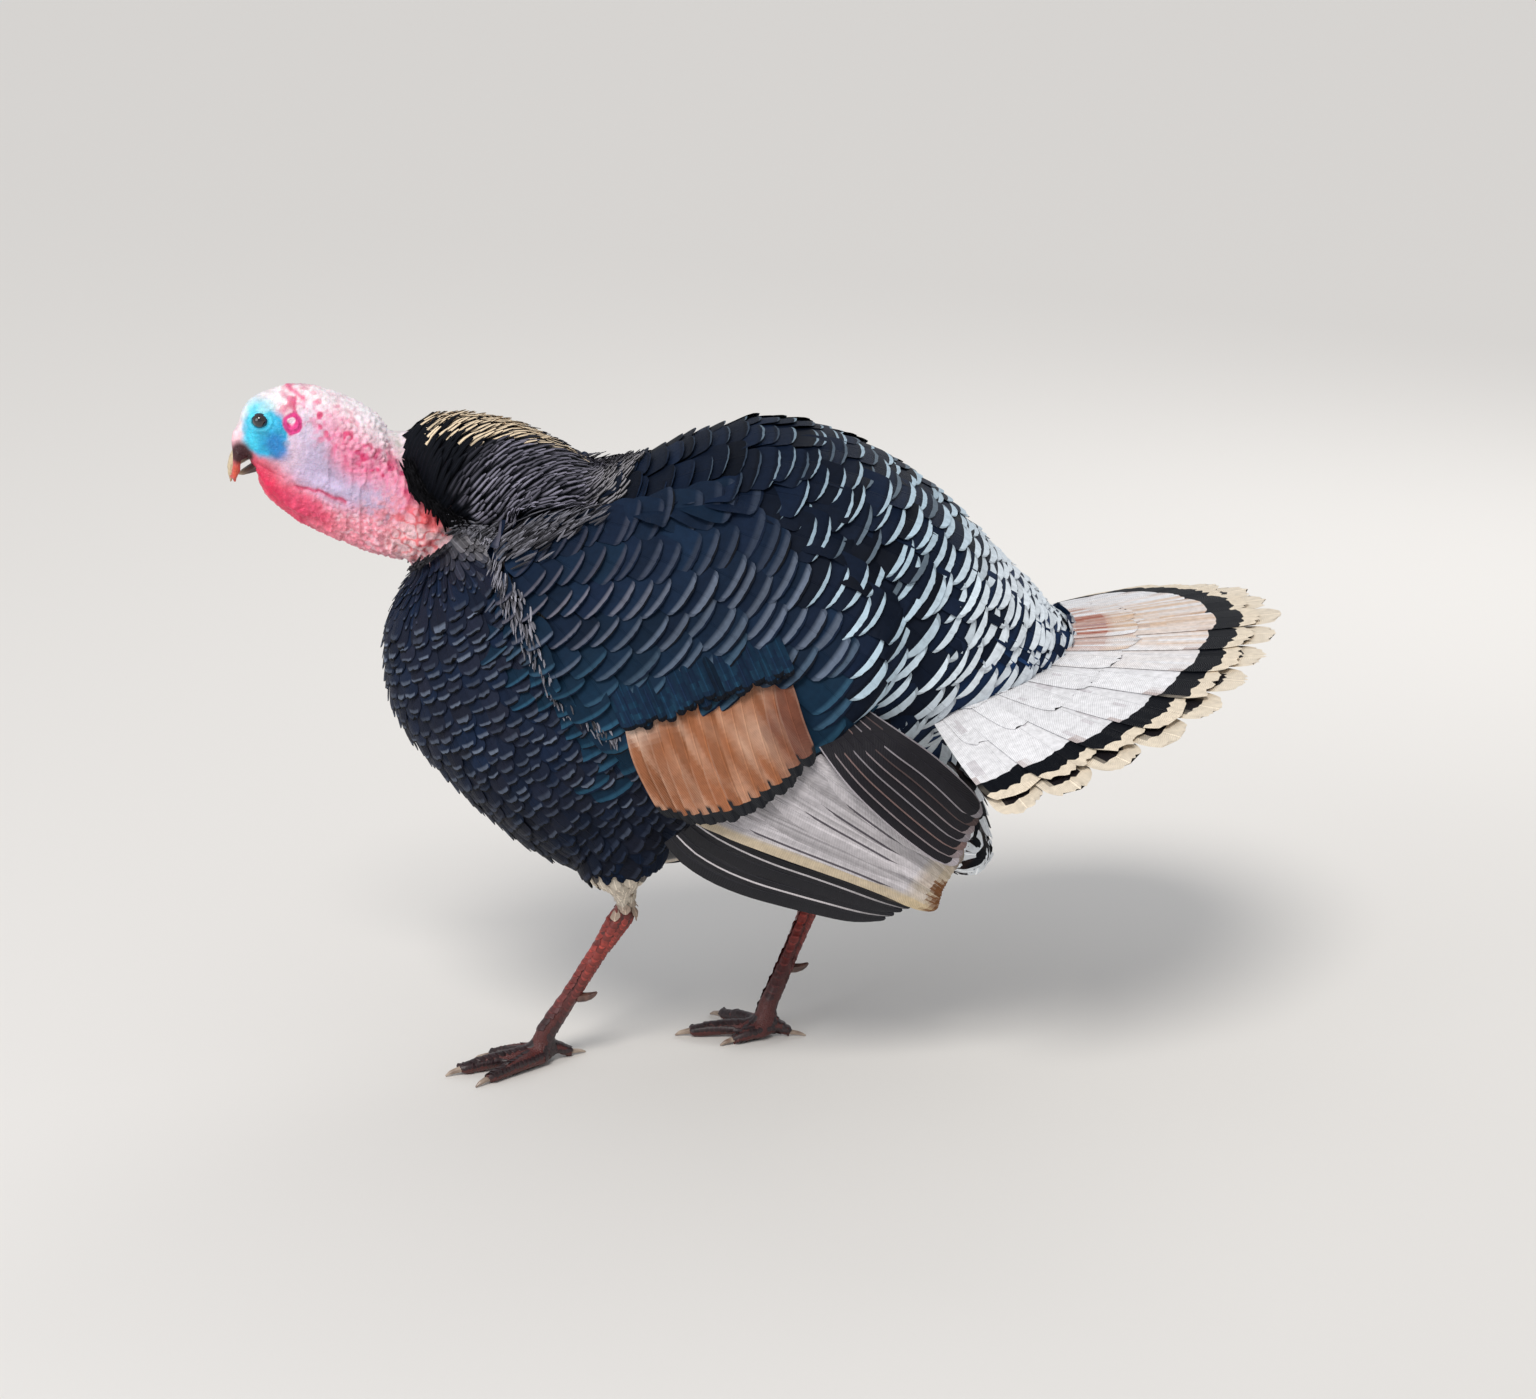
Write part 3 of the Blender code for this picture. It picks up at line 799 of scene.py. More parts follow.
class Part(Enum):
    """The parts of the body that the one skin covers, and the solid nodes of each."""

    TRUNK = ("trunk",)
    NECK = ("neck",)
    RUFF = ("neck_ruff",)
    HEAD = ("head",)
    SNOOD = ("snood",)
    WING = ("wing_left", "wing_right")
    THIGH = ("thigh_left", "thigh_right")
    VENT = ("vent_feathers",)
    SHANK = ("shank_left", "shank_right")
    TOE = tuple(f"toe_{side}_{kind}" for side in ("left", "right")
        for kind in ("middle", "inner", "outer", "hind"))


PARTS = list(Part)
COAT_DEPTH = {
    Part.TRUNK: 0.013,
    Part.RUFF: 0.015,
    Part.WING: 0.013,
    Part.THIGH: 0.008,
    Part.VENT: 0.020,
}
EYE_RADIUS = 0.0085
EYE_PLACE = spot(-0.4955, 0.0185, 0.694)
EYE_AXIS = unit(np.array((-0.16, 1.0, 0.04)))
EAR_PLACE = spot(-0.463, 0.028, 0.692)
CHEEK_FOLD = [(-0.466, 0.627), (-0.440, 0.622), (-0.412, 0.612)]
# painted shade: the skin under the coat is near black, so that gaps in the coat look shaded
UNDER_COAT_SHADE: Colour = (0.010, 0.010, 0.014)


def patch(points: Array, x: float, z: float, wide: float, high: float, soft: float = 0.5,
        lean: float = 0.0) -> Array:
    """Returns how far points lie in an oval seen from the side, from 0 outside to 1 inside.

    Args:
        points: Places in the frame.
        x: The oval's middle along the bird.
        z: Its middle's height.
        wide: Half its width.
        high: Half its height.
        soft: How soft its rim is, as a share of its size.
        lean: How far it is turned, in degrees.

    Returns:
        The shares, one for each point.
    """
    turn = math.radians(lean)
    dx, dz = points[:, 0] + MIDDLE_X - x, points[:, 2] - z
    along = dx * math.cos(turn) + dz * math.sin(turn)
    up = -dx * math.sin(turn) + dz * math.cos(turn)
    away = np.hypot(along / wide, up / high)
    return 1.0 - ease(1.0 - soft, 1.0 + soft, away)


def near_line(points: Array, stops: Sequence[Tuple[float, float]], width: float) -> Array:
    """Returns how near points lie to a line seen from the side, from 0 to 1 on the line.

    Args:
        points: Places in the frame.
        stops: The line's places, along the bird and up.
        width: The distance at which the value has fallen to 0.37.

    Returns:
        The values, one for each point.
    """
    flat = points[:, (0, 2)]
    best = np.full(len(flat), 1e9)
    for (x1, z1), (x2, z2) in zip(stops, stops[1:]):
        a, b = np.array((x1 - MIDDLE_X, z1)), np.array((x2 - MIDDLE_X, z2))
        share = np.clip(((flat - a) @ (b - a)) / ((b - a) @ (b - a)), 0, 1)
        best = np.minimum(best, np.linalg.norm(flat - a - share[:, None] * (b - a), axis=1))
    return np.exp(-((best / width) ** 2))


@dataclass
class Skin:
    """The one skin over all the flesh, with the head's folds, lids and caruncles."""

    voxel: float = 0.0050
    swell: float = 0.0007
    head_cuts: int = 3
    foot_cuts: int = 2
    eye_reach: float = 0.017

    parts: Array = field(default_factory=lambda: np.zeros(0, int))
    edges: Array = field(default_factory=lambda: np.zeros((0, 2), int))
    under: Optional[Surface] = None

    def build(self) -> bpy.types.Object:
        """Builds the skin and puts it on the bird.

        Returns:
            The piece.
        """
        rough = self.joined()
        base = self.smoothed(rough)
        self.edges = edges_of(base)
        self.under = Surface(*arrays_of(base))
        mesh = self.refined(base)
        points = self.sculpted(mesh)
        move_points(mesh, points)
        paint(mesh, "hide", self.colours(points), "POINT")
        piece = put("skin", mesh, BareSkin().material())
        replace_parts(piece, *[node for part in Part for node in part.value])
        return piece

    def share_of(self, parts: Sequence[Part], spread: int = 12) -> Array:
        """Returns how far each point belongs to some parts, softly across their borders."""
        mine = np.isin(self.parts, [PARTS.index(part) for part in parts]).astype(float)
        return relaxed(mine, self.edges, spread, 1.0, keep=False)

    def joined(self) -> bpy.types.Mesh:
        """Joins the flesh's solids and closes the gaps between them.

        Returns:
            The joined mesh.
        """
        points, triangles, parts, count = [], [], [], 0
        names = [(k, node) for k, part in enumerate(PARTS) for node in part.value]
        names += [(PARTS.index(Part.HEAD), "eye_left"), (PARTS.index(Part.HEAD), "eye_right")]
        for k, node in names:
            raw, tris = arrays_of(frame["nodes"][node].data)
            _, first, back = np.unique(np.round(raw, 6), axis=0, return_index=True,
                return_inverse=True)
            tris = back.reshape(-1)[tris]
            raw = raw[first]
            swollen = raw + vertex_normals(raw, tris) * self.swell
            points.append(swollen)
            triangles.append(tris + count)
            parts += [k] * len(tris)
            count += len(raw)
        all_points, all_triangles = np.vstack(points), np.vstack(triangles)
        self.source = BVHTree.FromPolygons(all_points.tolist(), all_triangles.tolist())
        self.source_parts = np.array(parts)
        wing = all_triangles[self.source_parts == PARTS.index(Part.WING)]
        self.wings = BVHTree.FromPolygons(all_points.tolist(), wing.tolist())
        mesh = mesh_of("joined", all_points, all_triangles.ravel(), np.full(len(all_triangles), 3))
        thing = linked("joined", mesh)
        remesh = thing.modifiers.new("remesh", "REMESH")
        remesh.mode = "VOXEL"
        remesh.voxel_size = self.voxel
        remesh.adaptivity = 0.0
        ready = thing.evaluated_get(bpy.context.evaluated_depsgraph_get())
        out = bpy.data.meshes.new_from_object(ready)
        bpy.data.objects.remove(thing)
        return out

    def part_at(self, points: Array) -> Array:
        """Returns which part of the body each point belongs to."""
        hit = [self.source.find_nearest(place)[2] for place in points.tolist()]
        return self.source_parts[hit]

    def smoothed(self, mesh: bpy.types.Mesh) -> bpy.types.Mesh:
        """Smooths the joined form and sinks it by the coat's depth.

        Args:
            mesh: The joined mesh.

        Returns:
            The same mesh.
        """
        edges = edges_of(mesh)
        points, triangles = arrays_of(mesh)
        parts = self.part_at(points)
        for k, place in enumerate(points.tolist()):
            if parts[k] == PARTS.index(Part.TRUNK) and self.wings.find_nearest(place, 0.011)[0]:
                parts[k] = PARTS.index(Part.WING)
        self.parts = parts
        depth = np.array([COAT_DEPTH.get(part, 0.0) for part in PARTS])[parts]
        coated = (depth > 0).astype(float)
        points = relaxed(points, edges, 6, np.ones(len(points)))
        points = relaxed(points, edges, 6, coated, keep=False)
        depth = relaxed(depth, edges, 10, 1.0, keep=False)
        normals = relaxed(vertex_normals(points, triangles), edges, 4, coated, keep=False)
        points = points - unit(normals) * depth[:, None]
        points = relaxed(points, edges, 4, coated, keep=False)
        move_points(mesh, points)
        return mesh

    def refined(self, mesh: bpy.types.Mesh) -> bpy.types.Mesh:
        """Divides the skin more finely on the head, neck and feet.

        Args:
            mesh: The smoothed mesh.

        Returns:
            The finer mesh.
        """
        fine = {PARTS.index(p): self.head_cuts for p in (Part.HEAD, Part.NECK, Part.SNOOD)}
        fine.update({PARTS.index(p): self.foot_cuts for p in (Part.SHANK, Part.TOE)})
        tool = bmesh.new()
        tool.from_mesh(mesh)
        for cuts in sorted(set(fine.values())):
            tool.verts.ensure_lookup_table()
            wanted = {k for k, c in fine.items() if c == cuts}
            inside = [v.index < len(self.parts) and self.parts[v.index] in wanted
                for v in tool.verts]
            chosen = {edge for face in tool.faces if all(inside[v.index] for v in face.verts)
                for edge in face.edges}
            before = len(tool.verts)
            bmesh.ops.subdivide_edges(tool, edges=list(chosen), cuts=cuts, use_grid_fill=True)
            tool.verts.index_update()
            LOG.info("skin divided from %d to %d points", before, len(tool.verts))
        self.smooth_fine(tool)
        middles = [EYE_PLACE * (1, sign, 1) for _, sign in SIDES]
        middles += [EAR_PLACE * (1, sign, 1) for _, sign in SIDES]
        close = set()
        for face in tool.faces:
            centre = np.array(face.calc_center_median())
            if any(np.linalg.norm(centre - m) < self.eye_reach for m in middles):
                close.update(face.edges)
        bmesh.ops.subdivide_edges(tool, edges=list(close), cuts=1, use_grid_fill=True)
        return smooth_mesh(tool, "skin")

    def smooth_fine(self, tool: bmesh.types.BMesh) -> None:
        """Rounds off the facets that dividing leaves.

        Args:
            tool: The form, whose vertices are moved.
        """
        scratch = bpy.data.meshes.new("scratch")
        tool.to_mesh(scratch)
        points, _ = arrays_of(scratch)
        parts = self.part_at(points)
        bare = np.isin(parts, [PARTS.index(p) for p in PARTS if p not in COAT_DEPTH]).astype(float)
        points = relaxed(points, edges_of(scratch), 14, bare)
        for vert, place in zip(tool.verts, points):
            vert.co = place
        bpy.data.meshes.remove(scratch)

    def sculpted(self, mesh: bpy.types.Mesh) -> Array:
        """Returns the skin's points with the head's and neck's forms worked into them.

        Args:
            mesh: The finer mesh.

        Returns:
            The vertices' new places.
        """
        points, triangles = arrays_of(mesh)
        edges = edges_of(mesh)
        parts = self.part_at(points)
        normals = vertex_normals(points, triangles)
        head = (parts == PARTS.index(Part.HEAD)).astype(float)
        neck = (parts == PARTS.index(Part.NECK)).astype(float)
        bare = relaxed(np.maximum(head, neck), edges, 6, 1.0, keep=False)
        height = self.folds(points) * bare
        points = points + normals * height[:, None]
        for _, sign in SIDES:
            points = self.lids(points, sign)
            away = np.linalg.norm(points - EYE_PLACE * (1, sign, 1), axis=1)
            skirt = ease(0.0098, 0.0108, away) * (1.0 - ease(0.0150, 0.0165, away))
            points = relaxed(points, edges, 3, skirt, keep=False)
        return points

    @staticmethod
    def folds(points: Array) -> Array:
        """Returns how far the bare skin stands up or sinks at each point.

        Args:
            points: Places in the frame.

        Returns:
            The heights, one for each point.
        """
        side = mirrored(points)
        height = 0.0010 * patch(side, -0.497, 0.7085, 0.012, 0.0045, 0.6, 12)
        ear = np.linalg.norm(side - EAR_PLACE, axis=1)
        height += 0.0019 * np.exp(-(((ear - 0.0062) / 0.0017) ** 2))
        height -= 0.0016 * np.exp(-((ear / 0.0030) ** 2))
        for tall, width, stops in (
            # the mouth's corner, the folds behind it and the throat's fold
            (-0.0013, 0.0016, [(-0.500, 0.648), (-0.488, 0.640), (-0.474, 0.634)]),
            (-0.0016, 0.0018, CHEEK_FOLD),
            (0.0018, 0.0042, [(-0.462, 0.634), (-0.436, 0.629), (-0.408, 0.620)]),
            (0.0022, 0.0048, [(-0.500, 0.640), (-0.480, 0.620), (-0.458, 0.598)]),
        ):
            height += tall * near_line(side, stops, width)
        for tall, size, seed, low, high, *ovals in (
            # caruncles on the nape, the throat, the neck's root and the crown
            (0.0030, 0.0062, 11, 0.15, 0.62, (-0.388, 0.668, 0.040, 0.030, 0.5, -35)),
            (0.0016, 0.0052, 17, 0.12, 0.60, (-0.400, 0.585, 0.085, 0.030, 0.5, -28)),
            (0.0044, 0.0105, 29, 0.10, 0.65, (-0.322, 0.600, 0.020, 0.026, 0.5, 20),
             (-0.345, 0.560, 0.040, 0.016, 0.5, -10)),
            (0.0008, 0.0036, 47, 0.10, 0.60, (-0.440, 0.722, 0.050, 0.012, 0.6, -8)),
        ):
            area = np.max([patch(side, *oval) for oval in ovals], axis=0)
            height += tall * area * (1.0 - ease(low, high, pebbles(side, size, seed)[0]))
        along = side * (1.0, 1.0, 0.28)
        wrinkle = 1.0 - np.abs(mottle(along, 0.0075, 5))
        cheek = patch(side, -0.395, 0.610, 0.075, 0.060, 0.5)
        height += 0.0024 * cheek * (wrinkle**3 - 0.4)
        cells, after = pebbles(side, 0.0046, 71)
        height += 0.0012 * np.clip(after - cells, 0, 0.6)
        height += 0.0012 * mottle(side, 0.012, 83)
        return height

    @staticmethod
    def lids(points: Array, sign: float) -> Array:
        """Shapes the lids round one eyeball and opens the skin over it.

        Args:
            points: The skin's vertices.
            sign: The side, as the sign of y.

        Returns:
            The vertices' new places.
        """
        flip = np.array((1.0, sign, 1.0))
        centre, axis = EYE_PLACE * flip, EYE_AXIS * flip
        offset = points - centre
        out = offset @ axis
        flat = offset - out[:, None] * axis
        away = np.hypot(flat[:, 0] / 1.10, (flat[:, 2] + 0.0003) / 0.90)
        ball = np.sqrt(np.maximum(EYE_RADIUS**2 - away**2, 0.0))
        rim = 0.0009 * np.exp(-(((away - 0.0083) / 0.0008) ** 2))
        ring = 0.0007 * np.exp(-(((away - 0.0116) / 0.0010) ** 2))
        groove = -0.0007 * np.exp(-(((away - 0.0100) / 0.0008) ** 2))
        near = (np.abs(out) < 0.014) & (out > -0.004) & (away < 0.0150)
        over = ball + 0.0004 + (out - ball) * ease(0.0077, 0.0098, away)
        cover = np.where(away < 0.0074, ball - 0.0030, over + rim)
        cover = cover + (ring + groove) * (away > 0.0085)
        blend = (1.0 - ease(0.0105, 0.0145, away)) * near
        return points + axis * ((cover - out) * blend)[:, None]

    @staticmethod
    def colours(points: Array) -> Array:
        """Returns the skin's colour at each point: bare, or painted shade under the coat.

        Args:
            points: The skin's vertices.

        Returns:
            Rows of rgb.
        """
        side = mirrored(points)
        side = side + 0.0022 * np.stack([mottle(side, 0.007, 3), np.zeros(len(side)),
            mottle(side, 0.007, 4)], 1)
        fine = mottle(points, 0.0040, 21)
        coarse = mottle(points, 0.011, 22)
        # painted shade: near black under the coat, where gaps between the feathers show the skin
        out = np.tile(np.array(UNDER_COAT_SHADE), (len(points), 1))

        def lay(colour: Colour, share: Array) -> None:
            """Lays a colour over what is there."""
            out[:] = out * (1 - share[:, None]) + np.array(colour) * share[:, None]

        x, z = from_side(side)
        bare = 1.0 - ease(-0.345, -0.300, x + 0.12 * (z - 0.60))
        leg = 1.0 - ease(0.190, 0.215, z)
        lay((0.085, 0.018, 0.016), leg)
        sock = ease(0.240, 0.232, z) * ease(0.176, 0.181, z)
        lay((0.52, 0.44, 0.35), sock)
        lay((0.86, 0.30, 0.38), bare * (1 - leg))
        spots = ease(0.18, 0.50, mottle(points, 0.0062, 61))
        flecks = ease(0.10, 0.45, mottle(points, 0.0034, 63))
        lay((0.90, 0.56, 0.64), patch(side, -0.395, 0.585, 0.070, 0.034, 0.5, -25) * flecks * 0.8)
        lay((0.55, 0.45, 0.64), patch(side, -0.425, 0.652, 0.060, 0.040, 0.35, -28))
        lay((0.62, 0.52, 0.70), patch(side, -0.443, 0.688, 0.020, 0.022, 0.5) * 0.9)
        dusk = patch(side, -0.385, 0.622, 0.036, 0.022, 0.5, -38)
        lay((0.40, 0.34, 0.50), dusk * ease(-0.3, 0.4, fine) * 0.8)
        lay((0.84, 0.62, 0.74), patch(side, -0.470, 0.662, 0.016, 0.022, 0.5) * 0.6)
        front = [(-0.508, 0.650), (-0.494, 0.632), (-0.472, 0.606), (-0.446, 0.586)]
        lay((0.75, 0.009, 0.080), near_line(side, front, 0.0140) ** 0.6)
        lay((0.76, 0.055, 0.150), patch(side, -0.452, 0.600, 0.030, 0.016, 0.5, -40) * 0.8)
        lay((0.84, 0.22, 0.30), near_line(side, [(-0.446, 0.584), (-0.405, 0.562)], 0.010) * 0.7)
        lay((0.90, 0.62, 0.64), patch(side, -0.335, 0.565, 0.034, 0.030, 0.5) * 0.85)
        cracks = 1.0 - ease(0.05, 0.22, np.abs(mottle(points, 0.0085, 65)))
        lay((0.74, 0.07, 0.09), patch(side, -0.338, 0.580, 0.032, 0.036, 0.5) * cracks * 0.8)
        lay((0.86, 0.26, 0.42), patch(side, -0.388, 0.668, 0.036, 0.036, 0.4, -35))
        # the crown's pale line: white skin in front, a painted highlight towards the nape
        crown = [(-0.512, 0.700), (-0.500, 0.722), (-0.455, 0.730), (-0.405, 0.712),
            (-0.362, 0.676)]
        lay((0.95, 0.86, 0.90), near_line(side, crown, 0.0200) ** 0.40)
        lay((0.95, 0.88, 0.91), patch(side, -0.486, 0.722, 0.026, 0.014, 0.5, 10) * 0.9)
        band = [(-0.458, 0.710), (-0.426, 0.690), (-0.390, 0.658), (-0.354, 0.630)]
        lay((0.84, 0.20, 0.36), near_line(side, band[1:], 0.014) * 0.55)
        lay((0.70, 0.02, 0.14), spots * near_line(side, band, 0.018) * 0.95)
        lay((0.80, 0.14, 0.32), flecks * near_line(side, band, 0.020) * 0.5)
        lay((0.74, 0.05, 0.20), near_line(side, [(-0.470, 0.728), (-0.452, 0.716)], 0.0028) * 0.8)
        under_cheek = [(-0.462, 0.626), *CHEEK_FOLD[1:]]
        lay((0.60, 0.03, 0.12), near_line(side, under_cheek, 0.0022) * 0.9)
        lay((0.02, 0.42, 0.70), patch(side, -0.490, 0.682, 0.0222, 0.0262, 0.18, 6))
        lay((0.10, 0.72, 0.90), patch(side, -0.497, 0.700, 0.014, 0.014, 0.5) * 0.9)
        lay((0.06, 0.66, 0.88), patch(side, -0.506, 0.676, 0.008, 0.012, 0.5) * 0.8)
        lay((0.01, 0.19, 0.55), patch(side, -0.479, 0.668, 0.010, 0.014, 0.5, 20) * 0.85)
        lay((0.55, 0.86, 0.92), patch(side, -0.488, 0.708, 0.010, 0.004, 0.6, 20) * 0.6)
        ear = np.linalg.norm(side - EAR_PLACE, axis=1)
        lay((0.72, 0.02, 0.22), (1 - ease(0.0098, 0.0122, ear)) * 0.95)
        heart = np.linalg.norm(side - spot(-0.4645, 0.028, 0.6945), axis=1)
        lay((0.96, 0.76, 0.84), 1 - ease(0.0040, 0.0060, heart))
        lay((0.74, 0.04, 0.05), patch(side, -0.324, 0.600, 0.014, 0.018, 0.5) * 0.8)
        nape = [(-0.362, 0.676), (-0.352, 0.650), (-0.330, 0.616)]
        lay((0.30, 0.34, 0.28), near_line(side, nape, 0.0030) * 0.7)
        # the snood's upper part over the beak: its own dark maroon, partly painted shade
        lay((0.045, 0.006, 0.010), patch(side, -0.5165, 0.659, 0.0115, 0.0125, 0.35, -10))
        snood = near_line(side, [(-0.5225, 0.650), (-0.5225, 0.618)], 0.0075) * (x < -0.5155)
        lay((0.66, 0.09, 0.045), snood * (1.0 - ease(0.644, 0.654, z)))
        out *= (1.0 + 0.16 * fine + 0.10 * coarse)[:, None]
        return out


# ---------------------------------------------------------------- vanes
PATCH = 0.003  # how wide each small vane's patch is on the unwrap
TURN = 0.14  # how far a feather's middle line turns to the coat's lie at each row
SAMPLES = 2500  # about how many places a lie is fitted at


@dataclass(frozen=True)
class Cut:
    """A vane's outline and section, as shares of half its width unless said otherwise."""

    root: float = 0.35
    full_at: float = 0.55  # share of the length where it is widest
    tip: float = 0.62
    tip_from: float = 0.82  # share of the length where the tip starts to narrow
    corner: float = 0.42  # how far the sides of the tip stay behind its middle
    camber: float = 0.16
    thick: float = 0.0007  # in metres, down the middle
    rows: int = 13
    columns: int = 9
    fray: float = 0.05

    def half(self, along: Array) -> Array:
        """Returns half the width at shares of the length.

        Args:
            along: The shares of the length.

        Returns:
            The half widths, as shares of the widest.
        """
        rising = np.sin(np.clip(along / self.full_at, 0, 1) * math.pi / 2)
        late = np.clip((along - self.tip_from) / (1 - self.tip_from), 0, 1)
        return (self.root + (1 - self.root) * rising) * (1 - (1 - self.tip) * late**2.4)

    def fade_row(self) -> int:
        """Returns the row over which the base's colour turns into the band's."""
        return self.rows - 6

    def stops(self, edges: Array) -> Array:
        """Returns each vane's rows along its length, with rows on its colours' borders.

        Args:
            edges: For each vane, the shares of the length where its band and its bar start.

        Returns:
            The rows' shares of the length: vane, row.
        """
        body = np.linspace(0, 1, self.fade_row() + 1)[None, :] * edges[:, :1]
        band = (edges[:, :1] + edges[:, 1:2]) / 2
        tip = edges[:, 1:2] + (1 - edges[:, 1:2]) * np.array((0.0, 0.4, 0.75, 1.0))
        return np.hstack([body, band, tip])


@dataclass
class Vanes:
    """A batch of vanes of one cut: where they grow, how they lie and their colours."""

    cut: Cut
    centres: Array  # vane, row, xyz
    outward: Array  # vane, row, xyz
    ahead: Array  # vane, row, xyz
    along: Array  # vane, row
    length: Array  # vane
    width: Array  # vane
    roots: Array  # vane, the root's place on the skin's unwrap
    colours: Array  # vane, row, column, rgb
    patch: Tuple[float, float] = (PATCH, 2 * PATCH)  # size of each vane on the unwrap

    def count(self) -> int:
        """Returns how many vanes there are."""
        return len(self.centres)

    def points(self, rng: Draw) -> Array:
        """Returns the vertices: vane, row, column, xyz.

        Args:
            rng: The draw.

        Returns:
            The vertices' places.
        """
        cut = self.cut
        across = np.linspace(-1, 1, cut.columns)[None, None, :]
        side = unit(np.cross(self.ahead, self.outward))
        half = (cut.half(self.along) * self.width[:, None] / 2)[:, :, None]
        back = ease(0.35, 1.0, self.along) * cut.corner * self.width[:, None] / 2
        fray = rng.normal(0, cut.fray, (self.count(), 1, cut.columns))
        fray = fray * ease(0.80, 1.0, self.along)[:, :, None] * self.width[:, None, None] / 2
        out = self.centres[:, :, None, :] + side[:, :, None, :] * (across * half)[..., None]
        pull = fray - back[:, :, None] * np.abs(across) ** 2.2
        out = out + self.ahead[:, :, None, :] * pull[..., None]
        drop = cut.camber * half * across**2
        return out - self.outward[:, :, None, :] * drop[..., None]

    def mesh(self, name: str, seed: int) -> bpy.types.Mesh:
        """Builds the vanes as one mesh of closed lens-shaped solids.

        Args:
            name: The mesh's name.
            seed: The draw's seed, for the frayed tips.

        Returns:
            The mesh, with the maps "vane" and "OFBake" and the colours "plumage".
        """
        cut, count = self.cut, self.count()
        points = self.points(np.random.default_rng(seed))
        rows, cols = cut.rows, cut.columns
        middle = points[:, :, cols // 2] - self.outward * cut.thick
        points = np.concatenate([points.reshape(count, -1, 3), middle], axis=1)
        grid = np.arange(rows * cols).reshape(rows, cols)
        keel = rows * cols + np.arange(rows)
        under = np.concatenate([np.stack([grid[:-1, 0], grid[1:, 0], keel[1:], keel[:-1]], axis=1),
            np.stack([keel[:-1], keel[1:], grid[1:, -1], grid[:-1, -1]], axis=1)])
        over = np.stack([grid[:-1, :-1], grid[:-1, 1:], grid[1:, 1:], grid[1:, :-1]],
            axis=2).reshape(-1, 4)
        ends = [grid[0, ::-1], keel[:1], grid[-1], keel[-1:]]
        one = np.concatenate([under.ravel(), over.ravel(), *ends])
        sizes = np.concatenate([np.full(len(under) + len(over), 4), [cols + 1, cols + 1]])
        corners = (one[None, :] + (np.arange(count) * rows * (cols + 1))[:, None]).ravel()
        mesh = mesh_of(name, points.reshape(-1, 3), corners, np.tile(sizes, count))
        across = np.linspace(-1, 1, cols)
        half = cut.half(self.along) * self.width[:, None] / 2
        sideways = (across[None, None, :] * half[:, :, None]).reshape(count, -1)
        sideways = np.hstack([sideways, np.zeros((count, rows))])
        reached = self.along * self.length[:, None]
        onward = np.hstack([np.repeat(reached, cols, axis=1), reached])
        add_map(mesh, "vane", np.stack([sideways[:, one], onward[:, one]], -1).reshape(-1, 2))
        steps = np.linspace(-1, 1, rows)
        spread = np.stack([np.append(np.tile(across, rows), np.zeros(rows)) * self.patch[0] / 2,
            np.append(np.repeat(steps, cols), steps) * self.patch[1] / 2], axis=1)
        patches = self.roots[:, None, :] + spread[one][None]
        add_map(mesh, "OFBake", patches.reshape(-1, 2))
        tint = self.colours[:, :-1, :-1]
        later = tint.copy()
        later[:, cut.fade_row()] = self.colours[:, cut.fade_row() + 1, :-1]
        tops = np.stack([tint, tint, later, later], axis=3).reshape(count, -1, 3)
        base = self.colours[:, :-1, cols // 2]
        folds = np.repeat(base, 4, axis=1)
        ends = [np.repeat(base[:, at], cols + 1, axis=1) for at in (slice(0, 1), slice(-1, None))]
        tints = np.concatenate([folds, folds, tops, *ends], axis=1)
        paint(mesh, "plumage", tints.reshape(-1, 3), "CORNER")
        mesh.set_sharp_from_angle(angle=math.radians(50))
        return mesh


def tint_rows(along: Array, columns: int, edges: Array, base: Array, band: Array, bar: Array,
        inset: float = 1.0) -> Array:
    """Colours vanes by zone: the base, a dark band and a bar at the tip.

    Args:
        along: Each vane's rows, as shares of its length.
        columns: How many columns the vanes have.
        edges: For each vane, the shares of the length where its band and its bar start.
        base: One colour for each vane, up to the band.
        band: One colour for each vane, up to the bar.
        bar: One colour for each vane, to the tip.
        inset: The share of the width that band and bar take, in the middle.

    Returns:
        The colours: vane, row, column, rgb.
    """
    middle = along + 1e-4
    in_band = (middle >= edges[:, :1]) & (middle < edges[:, 1:2])
    in_bar = middle >= edges[:, 1:2]
    out = np.where(in_band[..., None], band[:, None, :], base[:, None, :])
    out = np.where(in_bar[..., None], bar[:, None, :], out)
    start = in_band & (middle < (edges[:, :1] + edges[:, 1:2]) / 2)
    out = np.where(start[..., None], base[:, None, :], out)
    across = np.abs(np.linspace(-1, 1, columns) + 1 / (columns - 1))
    edge = ease(inset - 0.12, inset + 0.12, across) if inset < 1 else across * 0
    return mixed(out[:, :, None, :], base[:, None, None, :], edge[None, None, :])


